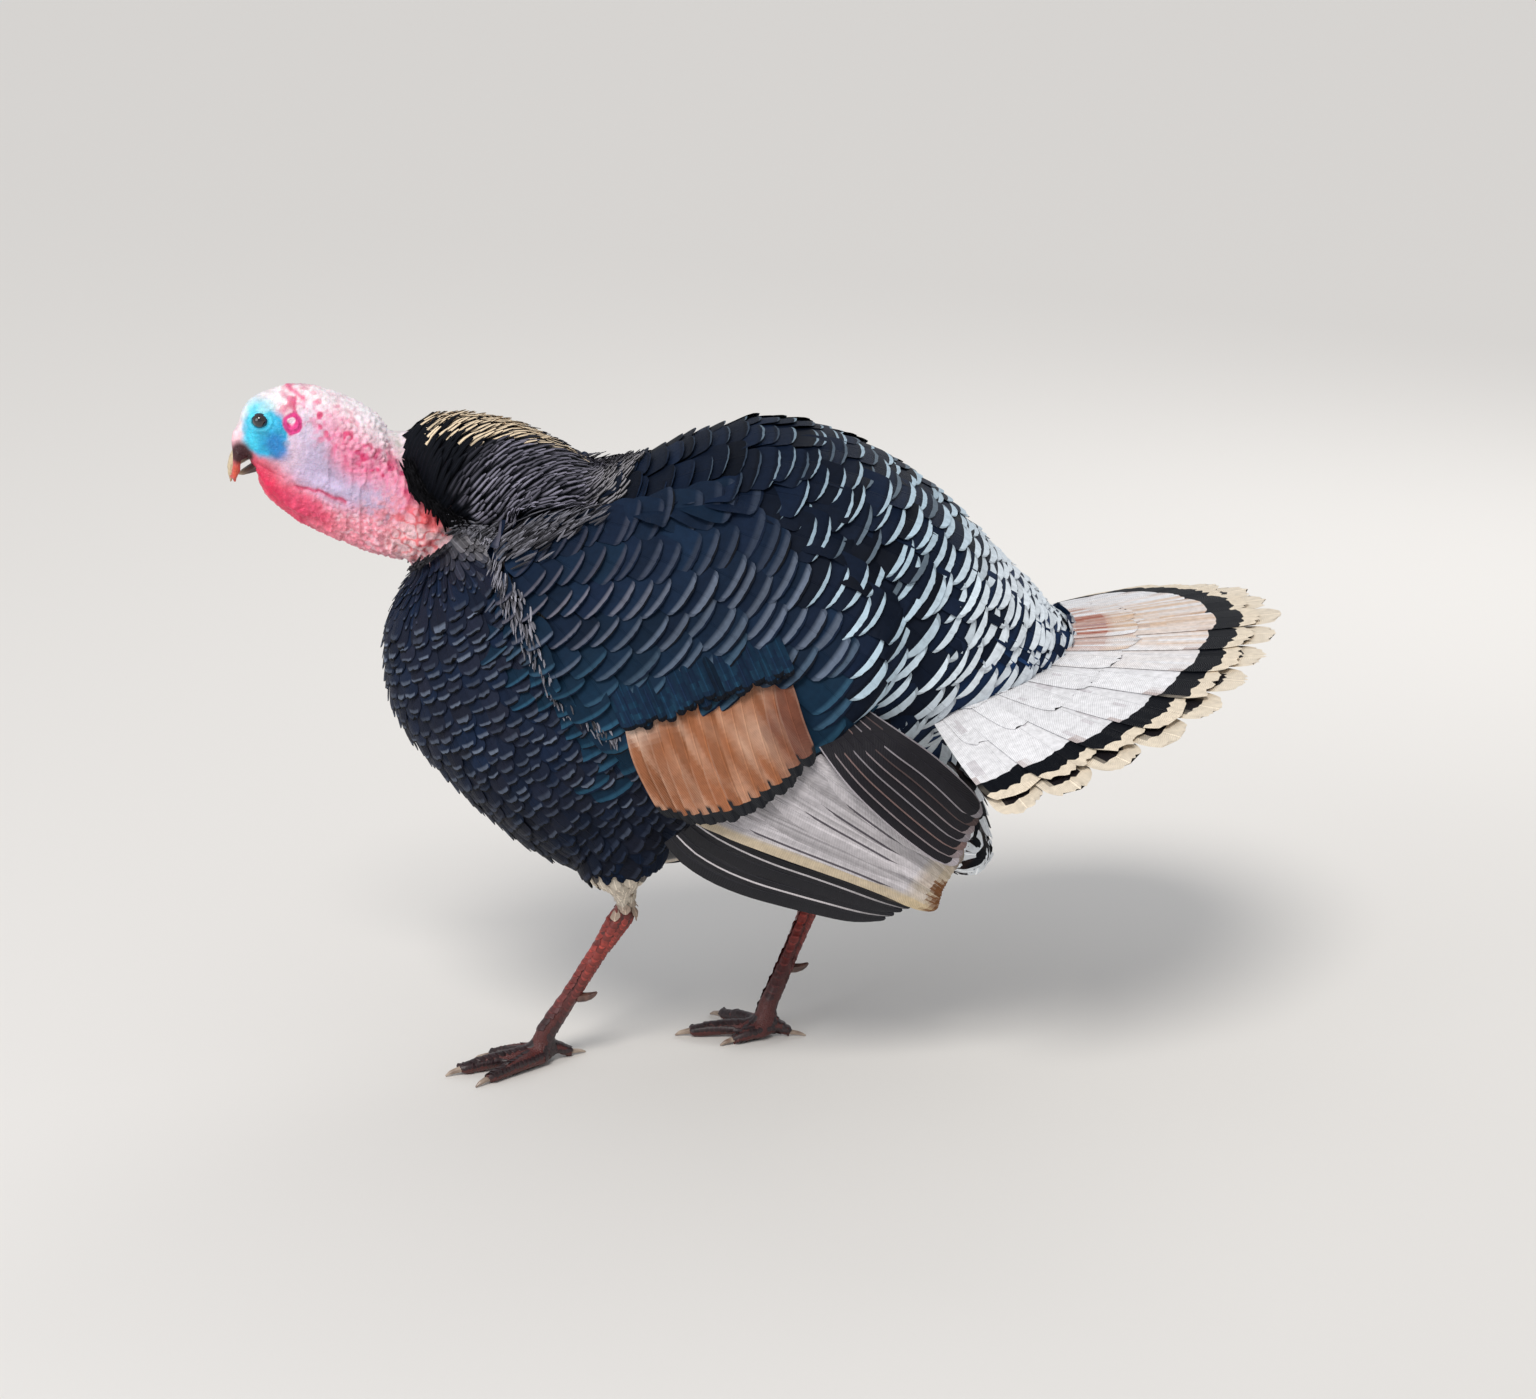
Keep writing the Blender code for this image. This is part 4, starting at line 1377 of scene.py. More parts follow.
def marched(surface: Surface, place: Array, way: Array, along: Array, length: Array, hug: object,
        lie: Optional[Lie] = None) -> Tuple[Array, Array, Array]:
    """Leads feathers' middle lines from their roots along the skin.

    Args:
        surface: The skin's form.
        place: The roots.
        way: The directions that they set off in.
        along: For each feather, its rows as shares of its length.
        length: Each feather's length.
        hug: How closely they follow the skin, from 0 to 1, one or one for each.
        lie: The lie of the coat that bends them, if any.

    Returns:
        The middle lines, the outward directions and the directions onward, row by row.
    """
    hug = np.broadcast_to(np.asarray(hug, float), (len(place),))[:, None]
    at, normal, _ = surface.drop(place)
    way = unit(way - normal * (way * normal).sum(1, keepdims=True))
    centres, outward, ahead = [at], [normal], [way]
    for r in range(1, along.shape[1]):
        step = (along[:, r] - along[:, r - 1]) * length
        reached = at + way * step[:, None]
        on, normal, _ = surface.drop(reached)
        at = reached + (on - reached) * hug
        if lie is not None:
            turned, _ = lie.way(on, normal)
            way = unit(way * (1 - TURN) + turned * TURN * hug)
        way = unit(way - normal * (way * normal).sum(1, keepdims=True) * hug)
        centres.append(at)
        outward.append(normal)
        ahead.append(way)
    return np.stack(centres, 1), np.stack(outward, 1), np.stack(ahead, 1)


@dataclass
class Tract:
    """One part of the coat: rows of like feathers over a part of the skin."""

    name: str
    slot: str
    finish: Plumage
    guides: Sequence[Sequence[float]]
    allowed: Callable[[Array], Array]  # which places may bear feathers
    across: float  # distance between feathers of a row
    length: float  # as a count of row distances
    width: float  # as a count of distances between feathers
    lift: float  # how high the tips stand over the skin
    cut: Cut
    markings: Callable[[Array, Draw], Dict[str, Array]]
    seed: int
    parts: Tuple[Part, ...] = (Part.TRUNK,)
    hug: float = 1.0  # how closely they follow the skin
    swing: float = 0.07  # how much single feathers turn aside
    pieces: int = 1
    reach: float = 0.22  # how far over its parts' borders it grows, lower for farther
    inset: float = 1.0  # the share of each feather's width that its band and bar take
    overlap: float = 0.0012  # how much higher every other feather of a row lies

    def grow(self, skin: Skin) -> List[bpy.types.Object]:
        """Grows the tract's feathers and puts them on the bird.

        Args:
            skin: The skin that they grow from.

        Returns:
            The pieces.
        """
        rng = np.random.default_rng(self.seed)
        surface = skin.under
        share = skin.share_of(self.parts)
        picked = np.flatnonzero(share > self.reach)
        sample = picked[:: max(1, len(picked) // SAMPLES)]
        lie = Lie(surface.points[sample], surface.normals[sample], self.guides)
        rise = lie.rise(surface.points)
        roots, unwrap, above = self.roots(surface, share, rise, rng, picked)
        return self.vanes(surface, lie, roots, unwrap, above, rng)

    def roots(self, surface: Surface, share: Array, rise: Array, rng: Draw,
            picked: Array) -> Tuple[Array, Array, Array]:
        """Finds where the feathers grow, in staggered rows.

        Args:
            surface: The form under the coat.
            share: How far each vertex of the form belongs to this tract's parts.
            rise: The fitted rise at each vertex of the form.
            rng: The draw.
            picked: The vertices of this tract's parts.

        Returns:
            The roots, their places on the skin's unwrap and which ones lie above their
            neighbours.
        """
        low, high = np.floor(rise[picked].min()), np.ceil(rise[picked].max())
        levels = np.arange(low, high + 1)
        roots, unwrap, above = [], [], []
        for k, level in enumerate(levels):
            start = 0.0
            for line in surface.rows(rise, level):
                steps = np.linalg.norm(np.diff(line, axis=0), axis=1)
                run = np.concatenate([[0], np.cumsum(steps)])
                count = int(run[-1] / self.across)
                if count < 1:
                    continue
                pitch = run[-1] / count
                marks = (np.arange(count) + 0.5 * (k % 2) + 0.25) * pitch
                marks = marks + rng.normal(0, 0.04, count) * pitch
                places = np.stack([np.interp(marks, run, line[:, a]) for a in range(3)], 1)
                roots.append(places)
                above.append(np.arange(count) % 2)
                unwrap.append(np.stack([start + marks, np.full(count, (k + 0.5) / len(levels))], 1))
                start += run[-1] + self.across
        places, flat, over = np.vstack(roots), np.vstack(unwrap), np.concatenate(above)
        flat[:, 0] /= max(flat[:, 0].max(), 1e-6)
        _, _, hit = surface.drop(places)
        keep = share[surface.triangles[hit]].mean(1) > self.reach
        keep &= self.allowed(places)
        return places[keep], 0.01 + 0.98 * flat[keep], over[keep]

    def vanes(self, surface: Surface, lie: Lie, roots: Array, unwrap: Array, above: Array,
            rng: Draw) -> List[bpy.types.Object]:
        """Lays a vane from each root along the lie of the coat.

        Args:
            surface: The form under the coat.
            lie: The lie of the coat over this tract's parts.
            roots: Where the feathers grow.
            unwrap: The roots' places on the skin's unwrap.
            above: 1 for a feather that lies above its neighbours, 0 for one below.
            rng: The draw.

        Returns:
            The pieces.
        """
        place, normal, _ = surface.drop(roots)
        way, pitch = lie.way(place, normal)
        _, wanted = lie.guide(place)
        pitch = np.clip(pitch, wanted * 0.6, wanted * 1.5)
        marks = self.markings(place, rng)
        count = len(place)
        scale = marks.get("scale", np.ones(count))
        length = pitch * self.length * scale * rng.normal(1, 0.05, count)
        width = self.across * self.width * scale * rng.normal(1, 0.05, count)
        lift = self.lift * marks.get("lift", np.ones(count)) * rng.normal(1, 0.03, count)
        lift = lift + self.overlap * above
        edges = np.stack([1 - marks["bar_share"] - marks["band_share"], 1 - marks["bar_share"]], 1)
        along = self.cut.stops(edges)
        side = np.cross(normal, way)
        way = unit(way + side * rng.normal(0, self.swing, (count, 1)))
        hug = self.hug * marks.get("hug", np.ones(count))
        centre, out, ahead_rows = marched(surface, place, way, along, length, hug, lie)
        height = lift[:, None] * (0.10 + 0.90 * along**1.1)
        centre = centre + out * height[..., None]
        slope = (lift / length)[:, None, None]
        ahead_rows = unit(ahead_rows + out * slope)
        out = unit(out - ahead_rows * (out * ahead_rows).sum(2, keepdims=True))
        colours = tint_rows(along, self.cut.columns, edges, marks["base"], marks["band"],
            marks["bar"], self.inset)
        order = np.array_split(np.argsort(roots[:, 0], kind="stable"), self.pieces)
        made = []
        for k, chosen in enumerate(order):
            batch = Vanes(self.cut, centre[chosen], out[chosen], ahead_rows[chosen], along[chosen],
                length[chosen], width[chosen], unwrap[chosen], colours[chosen])
            name = self.name if self.pieces == 1 else f"{self.name}_{k + 1}"
            mesh = batch.mesh(name, self.seed + 1000 + k)
            made.append(put(name, mesh, self.finish.material()))
        return made


# ---------------------------------------------------------------- the coat's markings
SILVER: Colour = (0.26, 0.36, 0.44)
PALE: Colour = (0.46, 0.60, 0.70)
SNOW: Colour = (0.80, 0.84, 0.88)
CREAM: Colour = (0.66, 0.53, 0.37)
JET: Colour = (0.004, 0.005, 0.008)
NAVY: Colour = (0.006, 0.014, 0.036)
TEAL: Colour = (0.006, 0.026, 0.053)
AZURE: Colour = (0.019, 0.070, 0.122)
# SLATE and DUSK colour the painted sheen on the wing's scales, and SLATE also the breast's ticks
SLATE: Colour = (0.105, 0.130, 0.180)
DUSK: Colour = (0.135, 0.130, 0.165)
BRONZE: Colour = (0.32, 0.115, 0.048)
COLLAR_LINE = [(-0.352, 0.541), (-0.319, 0.560), (-0.290, 0.582), (-0.262, 0.585)]


def mixed(one: Array, two: Array, share: Array) -> Array:
    """Returns colours part of the way from one to another."""
    share = np.asarray(share)[..., None]
    return np.asarray(one) * (1 - share) + np.asarray(two) * share


def back_marks(place: Array, rng: Draw) -> Dict[str, Array]:
    """Colours the back and flanks: black, with bars that whiten towards the rump.

    Args:
        place: The feathers' roots.
        rng: The draw.

    Returns:
        By name, the zones' colours and shares of the length, and scale, lift and hug where these
        vary.
    """
    count = len(place)
    x, z = from_side(place)
    behind = x + 0.55 * (0.68 - z)
    bar = np.interp(behind, (-0.06, 0.02, 0.10, 0.18, 0.26, 0.34),
        (0.030, 0.045, 0.075, 0.115, 0.145, 0.16))
    faint = rng.random(count) < 0.30 * (1 - ease(0.12, 0.22, behind))
    shown = ease(-0.10, 0.04, behind) * np.where(faint, 0.25, 1.0)
    pale = mixed(SILVER, PALE, ease(0.00, 0.13, behind))
    pale = mixed(pale, SNOW, 0.75 * ease(0.15, 0.32, behind))
    pale = pale * rng.normal(1, 0.08, (count, 1))
    base = mixed(NAVY, JET, rng.random(count) * 0.8)
    base = mixed(base, (0.012, 0.040, 0.120), ease(0.26, 0.34, behind) * rng.random(count))
    low = ease(0.30, 0.24, z) * ease(0.30, 0.10, x)
    lift = 1.0 - 0.35 * ease(0.63, 0.68, z) - 0.30 * ease(0.34, 0.42, behind)
    return {"base": base * rng.normal(1, 0.12, (count, 1)), "band": base * 0.7,
        "bar": mixed(NAVY, pale, shown * (1 - low)), "bar_share": bar * rng.normal(1, 0.07, count),
        "band_share": np.full(count, 0.08), "lift": lift,
        "scale": 1.0 - 0.24 * ease(0.33, 0.42, behind)}


def breast_marks(place: Array, rng: Draw) -> Dict[str, Array]:
    """Colours the breast: near black, with a short slate tick near each tip, partly painted sheen.

    Args:
        place: The feathers' roots.
        rng: The draw.

    Returns:
        By name, the zones' colours and shares of the length, and scale, lift and hug where these
        vary.
    """
    count = len(place)
    z = place[:, 2]
    base = mixed(NAVY, (0.014, 0.017, 0.032), rng.random(count))
    # the slate tick is partly painted sheen
    tick = mixed(SLATE, (0.19, 0.23, 0.31), rng.random(count) ** 2)
    bright = 0.25 + 0.75 * rng.random(count) ** 1.5
    low = ease(0.42, 0.28, z)
    bright = bright * (1 - 0.85 * low) * (0.55 + 0.45 * ease(0.10, 0.45, rng.random(count)))
    # the black at each tip is partly the feathers' own dark edge, partly painted shadow between
    # them
    return {"base": base * rng.normal(1, 0.15, (count, 1)) * (1 - 0.45 * low)[:, None],
        "band": mixed(base, tick, bright), "bar": np.tile(JET, (count, 1)),
        "bar_share": np.full(count, 0.040), "band_share": rng.uniform(0.06, 0.12, count)}


def collar_marks(place: Array, rng: Draw) -> Dict[str, Array]:
    """Colours the small feathers round the neck's root: grey down above, dark below.

    Args:
        place: The feathers' roots.
        rng: The draw.

    Returns:
        By name, the zones' colours and shares of the length, and scale, lift and hug where these
        vary.
    """
    marks = breast_marks(place, rng)
    down = near_line(place, [(-0.306, 0.580), (-0.268, 0.576)], 0.014)
    grey = np.array((0.19, 0.185, 0.20)) * rng.normal(1, 0.30, (len(place), 1))
    marks["band"] = mixed(marks["base"], marks["band"], 0.4)
    for key in ("base", "band", "bar"):
        marks[key] = mixed(marks[key], grey, down)
    return marks


def wing_marks(place: Array, rng: Draw) -> Dict[str, Array]:
    """Colours the wing's scales: dark, each with a painted sheen strip behind its tip.

    Args:
        place: The feathers' roots.
        rng: The draw.

    Returns:
        By name, the zones' colours and shares of the length, and scale, lift and hug where these
        vary.
    """
    count = len(place)
    x, z = from_side(place)
    low = ease(0.54, 0.44, z + 0.10 * x + rng.normal(0, 0.010, count))
    # painted sheen: a slate strip behind each tip, blue low on the wing and dimmed near its top
    grey = mixed(SLATE, DUSK, ease(-0.10, -0.22, x))
    sheen_strip = mixed(grey, AZURE, low) * rng.normal(1, 0.15, (count, 1))
    dim = ease(0.572, 0.612, z - 0.10 * x) * 0.75
    sheen_strip = mixed(sheen_strip, NAVY, dim)
    base = mixed(NAVY, TEAL, np.clip(0.15 + 0.75 * low + rng.normal(0, 0.1, count), 0, 1))
    out = {"base": base * rng.normal(1, 0.14, (count, 1)), "band": sheen_strip,
        "bar": mixed(JET, NAVY, rng.random(count)), "bar_share": np.full(count, 0.040),
        "band_share": rng.uniform(0.125, 0.155, count)}
    rear = back_marks(place, rng)
    border = 0.084 - 0.40 * (z - 0.425) - 0.35 * np.maximum(z - 0.50, 0)
    barred = x + rng.normal(0, 0.006, count) > border
    for key in list(out):
        value = rear[key]
        share = barred if value.ndim == 1 else barred[:, None]
        out[key] = np.where(share, value, out[key])
    out["scale"] = 0.72 + 0.30 * ease(-0.24, -0.08, x)
    out["lift"] = 1.0 - 0.45 * ease(0.590, 0.625, z + 0.15 * np.abs(x + 0.05))
    return out


def ruff_marks(place: Array, rng: Draw) -> Dict[str, Array]:
    """Colours the ruff: black with buff tips along its crest.

    Args:
        place: The feathers' roots.
        rng: The draw.

    Returns:
        By name, the zones' colours and shares of the length, and scale, lift and hug where these
        vary.
    """
    count = len(place)
    x, z = from_side(place)
    tip = z + 0.052 * ease(-0.16, -0.34, x) + 0.004 * rng.standard_normal(count)
    crest = ease(0.689, 0.693, tip) * ease(-0.17, -0.20, x) * (rng.random(count) < 0.96)
    fan = ease(-0.320, -0.285, x + 0.35 * (0.62 - z)) * ease(0.675, 0.650, z)
    strand = fan * rng.uniform(0.25, 1.0, count)
    strand = mixed(JET, (0.215, 0.205, 0.260), strand)
    strand = mixed(strand, (0.24, 0.23, 0.23), ease(-0.215, -0.175, x) * 0.7)
    return {"base": np.tile(JET, (count, 1)), "band": strand, "bar": mixed(strand, CREAM, crest),
        "bar_share": 0.07 + 0.26 * crest * rng.uniform(0.8, 1.2, count),
        "band_share": np.full(count, 0.42)}


def thigh_marks(place: Array, rng: Draw) -> Dict[str, Array]:
    """Colours the thighs: near black above, a pale sock above the shank.

    Args:
        place: The feathers' roots.
        rng: The draw.

    Returns:
        By name, the zones' colours and shares of the length, and scale, lift and hug where these
        vary.
    """
    count = len(place)
    z = place[:, 2]
    sock = ease(0.236, 0.232, z)
    base = mixed(np.array(NAVY) * 0.7, (0.60, 0.53, 0.44), sock)
    base = mixed(base, (0.34, 0.16, 0.10), ease(0.196, 0.186, z) * 0.4)
    scale = np.where(sock > 0.5, 0.52, np.clip((z - 0.225) / 0.045, 0.45, 1.0))
    return {"base": base * rng.normal(1, 0.06, (count, 1)), "band": base * 0.9,
        "bar": base * rng.normal(1.05, 0.06, (count, 1)), "bar_share": np.full(count, 0.08),
        "band_share": np.full(count, 0.08), "scale": scale,
        "lift": 1.0 - 0.58 * ease(0.29, 0.235, z), "hug": 1.0 + 0.25 * ease(0.30, 0.28, z)}


def vent_marks(place: Array, rng: Draw) -> Dict[str, Array]:
    """Colours the vent's loose feathers: black, some with a white tip.

    Args:
        place: The feathers' roots.
        rng: The draw.

    Returns:
        By name, the zones' colours and shares of the length, and scale, lift and hug where these
        vary.
    """
    count = len(place)
    white = (rng.random(count) < 0.42).astype(float)
    return {"base": mixed(JET, (0.035, 0.016, 0.012), rng.random(count) * 0.6),
        "band": np.tile(JET, (count, 1)), "bar": mixed(np.array(JET), SNOW, white),
        "bar_share": 0.12 + 0.22 * white * rng.uniform(0.4, 1.0, count),
        "band_share": np.full(count, 0.12)}


TRUNK_GUIDES = [
    # place, direction, distance between rows
    (-0.300, 0.080, 0.600, 1.00, 0.00, -0.10, 0.0120),
    (-0.340, 0.000, 0.540, -0.50, 0.20, -0.85, 0.0110),
    (-0.386, 0.000, 0.450, 0.00, 0.00, -1.00, 0.0130),
    (-0.350, 0.000, 0.330, 0.60, 0.00, -0.80, 0.0140),
    (-0.150, 0.000, 0.200, 1.00, 0.00, -0.10, 0.0160),
    (0.050, 0.000, 0.250, 1.00, 0.00, 0.30, 0.0160),
    (-0.300, 0.130, 0.450, 0.35, 0.20, -0.90, 0.0130),
    (-0.270, 0.120, 0.540, 0.40, 0.30, -0.80, 0.0115),
    (-0.150, 0.170, 0.330, 0.70, 0.00, -0.70, 0.0150),
    (-0.150, 0.000, 0.640, 1.00, 0.00, 0.15, 0.0150),
    (0.020, 0.000, 0.690, 1.00, 0.00, -0.10, 0.0155),
    (0.030, 0.120, 0.630, 0.90, 0.10, -0.45, 0.0150),
    (0.200, 0.000, 0.600, 0.75, 0.00, -0.65, 0.0125),
    (0.170, 0.130, 0.500, 0.75, 0.05, -0.65, 0.0118),
    (0.310, 0.040, 0.470, 0.90, 0.00, -0.40, 0.0110),
    (0.120, 0.165, 0.400, 0.45, 0.00, -0.90, 0.0118),
    (0.150, 0.120, 0.330, 0.60, -0.10, -0.80, 0.0120),
]
WING_GUIDES = [
    (-0.250, 0.140, 0.560, 0.75, 0.10, -0.65, 0.0110),
    (-0.180, 0.130, 0.610, 0.92, 0.00, -0.35, 0.0125),
    (-0.050, 0.130, 0.620, 0.90, 0.00, -0.42, 0.0145),
    (-0.080, 0.180, 0.520, 0.80, 0.00, -0.60, 0.0155),
    (-0.190, 0.180, 0.460, 0.55, 0.00, -0.83, 0.0125),
    (-0.080, 0.200, 0.420, 0.50, 0.00, -0.86, 0.0145),
    (0.060, 0.190, 0.440, 0.60, 0.00, -0.80, 0.0150),
    (0.080, 0.150, 0.550, 0.85, 0.00, -0.55, 0.0150),
]
RUFF_GUIDES = [
    (-0.345, 0.010, 0.640, 0.30, 0.00, 0.95, 0.0095),
    (-0.300, 0.030, 0.620, 0.55, 0.00, 0.83, 0.0095),
    (-0.250, 0.030, 0.600, 0.75, 0.00, 0.65, 0.0100),
    (-0.200, 0.020, 0.600, 0.95, 0.00, 0.25, 0.0110),
    (-0.330, 0.070, 0.570, 0.60, 0.10, 0.75, 0.0095),
    (-0.270, 0.080, 0.560, 0.80, 0.10, 0.55, 0.0100),
]
THIGH_GUIDES = [
    (-0.130, 0.090, 0.300, 0.10, 0.00, -1.00, 0.0130),
    (-0.143, 0.080, 0.230, 0.10, 0.00, -1.00, 0.0070),
    (-0.133, 0.062, 0.190, 0.20, 0.00, -1.00, 0.0060),
    (0.050, 0.080, 0.260, 0.30, 0.00, -0.95, 0.0110),
    (0.084, 0.064, 0.180, 0.30, 0.00, -0.95, 0.0060),
]
VENT_GUIDES = [
    (0.170, 0.060, 0.400, 0.80, 0.10, -0.55, 0.0180),
    (0.241, 0.030, 0.320, 0.60, 0.10, -0.80, 0.0180),
    (0.150, 0.050, 0.240, 0.80, 0.10, -0.50, 0.0180),
    (0.255, 0.020, 0.220, 0.50, 0.10, -0.85, 0.0150),
]


@dataclass
class Coat:
    """The feathers that lie over the body, tract by tract."""

    skin: Skin

    def build(self) -> None:
        """Grows every tract."""
        for tract in self.tracts():
            tract.grow(self.skin)

    @staticmethod
    def tracts() -> List[Tract]:
        """Returns the tracts, from the body's parts and their guides.

        Returns:
            The tracts, in the order in which they grow.
        """
        broad = Cut(root=0.45, full_at=0.5, tip=0.74, tip_from=0.85, corner=0.13, camber=0.06,
            rows=14, columns=13, fray=0.009)
        scale = Cut(root=0.45, full_at=0.5, tip=0.62, tip_from=0.78, corner=0.45, camber=0.14)
        small = Cut(root=0.80, full_at=0.5, tip=0.70, tip_from=0.84, corner=0.22, camber=0.14,
            columns=7, rows=12)
        narrow = Cut(root=0.90, full_at=0.4, tip=0.45, tip_from=0.80, corner=0.5, columns=5,
            rows=12)

        def all_over(place: Array) -> Array:
            """Lets feathers grow everywhere."""
            return np.ones(len(place), bool)

        def before(place: Array, by: float) -> Array:
            """Returns which places lie on the breast, up to a distance past its border."""
            x, z = from_side(place)
            return x - 0.35 * (0.45 - z) < -0.135 + by

        def clear_of_legs(place: Array) -> Array:
            """Keeps the trunk's feathers from hanging over the shanks.

            Args:
                place: Places on the skin.

            Returns:
                Which places may bear feathers.
            """
            x, y, z = place[:, 0] + MIDDLE_X, place[:, 1], place[:, 2]
            calf = np.where(y < 0, -0.140, 0.066)
            return (np.abs(x - calf) > 0.061) | (z > 0.270) | (np.abs(y) < 0.020)

        def on_wing(place: Array) -> Array:
            """Keeps the wing's scales above the bronze band.

            Args:
                place: Places on the skin.

            Returns:
                Which places may bear feathers.
            """
            x, z = from_side(place)
            clear = (z > 0.451 + 0.309 * (x + 0.131)) | (x < -0.150) | (x > 0.022)
            return clear & (x < 0.134 - 0.2 * np.abs(z - 0.500))

        def on_ruff(place: Array) -> Array:
            """Keeps the ruff's feathers behind its front edge."""
            return from_side(place)[0] > -0.353

        def on_breast(place: Array) -> Array:
            """Keeps the breast's feathers in front of the wings and off the neck's root."""
            clear = near_line(place, COLLAR_LINE, 0.015) < 0.37
            return before(place, 0.012) & clear & clear_of_legs(place)

        def on_back(place: Array) -> Array:
            """Keeps the back's feathers behind the breast's."""
            nape = 0.07 * ease(0.56, 0.60, place[:, 2])
            return ~before(place, -0.012 - nape) & clear_of_legs(place)

        def on_collar(place: Array) -> Array:
            """Keeps the small feathers round the neck's root."""
            return near_line(place, COLLAR_LINE, 0.027) > 0.37

        sheen = Plumage("plumage", roughness=0.55, gloss=0.08, shaft_light=1.0)
        soft = Plumage("soft_plumage", roughness=0.65, gloss=0.08, barb_pitch=0.0011,
            barb_depth=0.0001)
        collar_guides = [(*guide[:6], guide[6] * 0.55) for guide in TRUNK_GUIDES]
        return [
            Tract(
                "back_feathers", "trunk_feather", sheen, TRUNK_GUIDES, on_back,
                across=0.042, length=3.8, width=1.28, lift=0.0110, cut=broad,
                markings=back_marks, seed=101, pieces=3, inset=0.94, swing=0.03, reach=0.14,
            ),
            Tract(
                "breast_feathers", "trunk_feather", sheen, TRUNK_GUIDES, on_breast,
                across=0.0185, length=3.6, width=1.35, lift=0.0085, cut=small,
                markings=breast_marks, seed=151, pieces=2, inset=0.62,
            ),
            Tract(
                "collar_feathers", "ruff_feather", soft, collar_guides, on_collar,
                across=0.0062, length=4.2, width=1.30, lift=0.0060, cut=narrow,
                markings=collar_marks, seed=173, parts=(Part.TRUNK, Part.RUFF),
                inset=0.70, swing=0.06, reach=0.45,
            ),
            Tract(
                "wing_feathers", "wing_covert", sheen, WING_GUIDES, on_wing,
                across=0.042, length=3.6, width=1.28, lift=0.0095, cut=broad,
                markings=wing_marks, seed=211, parts=(Part.WING,), pieces=2, inset=0.94,
                swing=0.03, reach=0.02,
            ),
            Tract(
                "ruff_feathers", "ruff_feather", soft, RUFF_GUIDES, on_ruff,
                across=0.0052, length=5.2, width=1.20, lift=0.0130, cut=narrow,
                markings=ruff_marks, seed=307, parts=(Part.RUFF,), pieces=2, hug=0.55, reach=0.22,
                inset=0.5, swing=0.04,
            ),
            Tract(
                "thigh_feathers", "thigh_feather", soft, THIGH_GUIDES, all_over,
                across=0.016, length=3.6, width=1.35, lift=0.0070, cut=scale,
                markings=thigh_marks, seed=401, parts=(Part.THIGH,), hug=0.8, reach=0.4,
            ),
            Tract(
                "vent_plumes", "vent_feather", soft, VENT_GUIDES, all_over,
                across=0.026, length=3.4, width=1.25, lift=0.0180, cut=scale,
                markings=vent_marks, seed=503, parts=(Part.VENT,), hug=0.5, inset=0.80,
            ),
        ]


# ---------------------------------------------------------------- long feathers
@dataclass
class Quills:
    """Long feathers laid side by side along paths of their own."""

    name: str
    slot: str
    finish: Plumage
    cut: Cut
    paths: Array  # feather, stop, xyz from root to tip
    outward: Array  # feather, stop, xyz
    width: object  # one width or one for each feather
    borders: Tuple[float, float]  # the shares of the length where band and bar start
    colour: Callable[[Array, Array, Array], Array]  # feather, along, across to rgb
    seed: int
    patch: Tuple[float, float] = (0.02, 0.08)

    def build(self) -> bpy.types.Object:
        """Builds the feathers as one piece and puts it on the bird.

        Returns:
            The piece.
        """
        along = self.cut.stops(np.tile(self.borders, (len(self.paths), 1)))
        count, rows = along.shape
        steps = np.linalg.norm(np.diff(self.paths, axis=1), axis=2)
        run = np.concatenate([np.zeros((count, 1)), np.cumsum(steps, 1)], 1)
        length = run[:, -1]
        centres, outs = np.empty((count, rows, 3)), np.empty((count, rows, 3))
        for k in range(count):
            for out, lines in ((centres, self.paths), (outs, self.outward)):
                for axis in range(3):
                    stops = run[k] / length[k]
                    out[k, :, axis] = smooth_through(stops, lines[k, :, axis], along[k])
        ahead = unit(np.gradient(centres, axis=1))
        outs = unit(outs - ahead * (outs * ahead).sum(2, keepdims=True))
        across = np.linspace(-1, 1, self.cut.columns)
        across = (across + (across[1] - across[0]) / 2)[None, None, :]
        which = np.arange(count)[:, None, None]
        middle = np.concatenate([(along[:, 1:] + along[:, :-1]) / 2, along[:, -1:]], 1)
        shape = (count, rows, self.cut.columns)
        colours = self.colour(np.broadcast_to(which, shape),
            np.broadcast_to(middle[:, :, None], shape), np.broadcast_to(across, shape))
        wide, tall = self.patch
        spots = np.stack([0.05 + 0.9 * (np.arange(count) + 0.5) / count, np.full(count, 0.5)], 1)
        width = np.broadcast_to(self.width, (count,))
        batch = Vanes(self.cut, centres, outs, ahead, along, length, width, spots, colours,
            patch=(min(wide, 0.8 / count), tall))
        mesh = batch.mesh(self.name, self.seed)
        return put(self.name, mesh, self.finish.material())


def smooth_through(stops: Array, values: Array, at: Array) -> Array:
    """Returns values on a smooth curve through stops.

    Args:
        stops: Where the values are known, in order.
        values: The values there.
        at: Where they are wanted.

    Returns:
        The wanted values.
    """
    slope = np.gradient(values, stops)
    k = np.clip(np.searchsorted(stops, at, side="right") - 1, 0, len(stops) - 2)
    gap = stops[k + 1] - stops[k]
    t = np.clip((at - stops[k]) / gap, 0, 1)
    a = values[k] * (2 * t**3 - 3 * t**2 + 1) + values[k + 1] * (3 * t**2 - 2 * t**3)
    return a + gap * (slope[k] * (t**3 - 2 * t**2 + t) + slope[k + 1] * (t**3 - t**2))


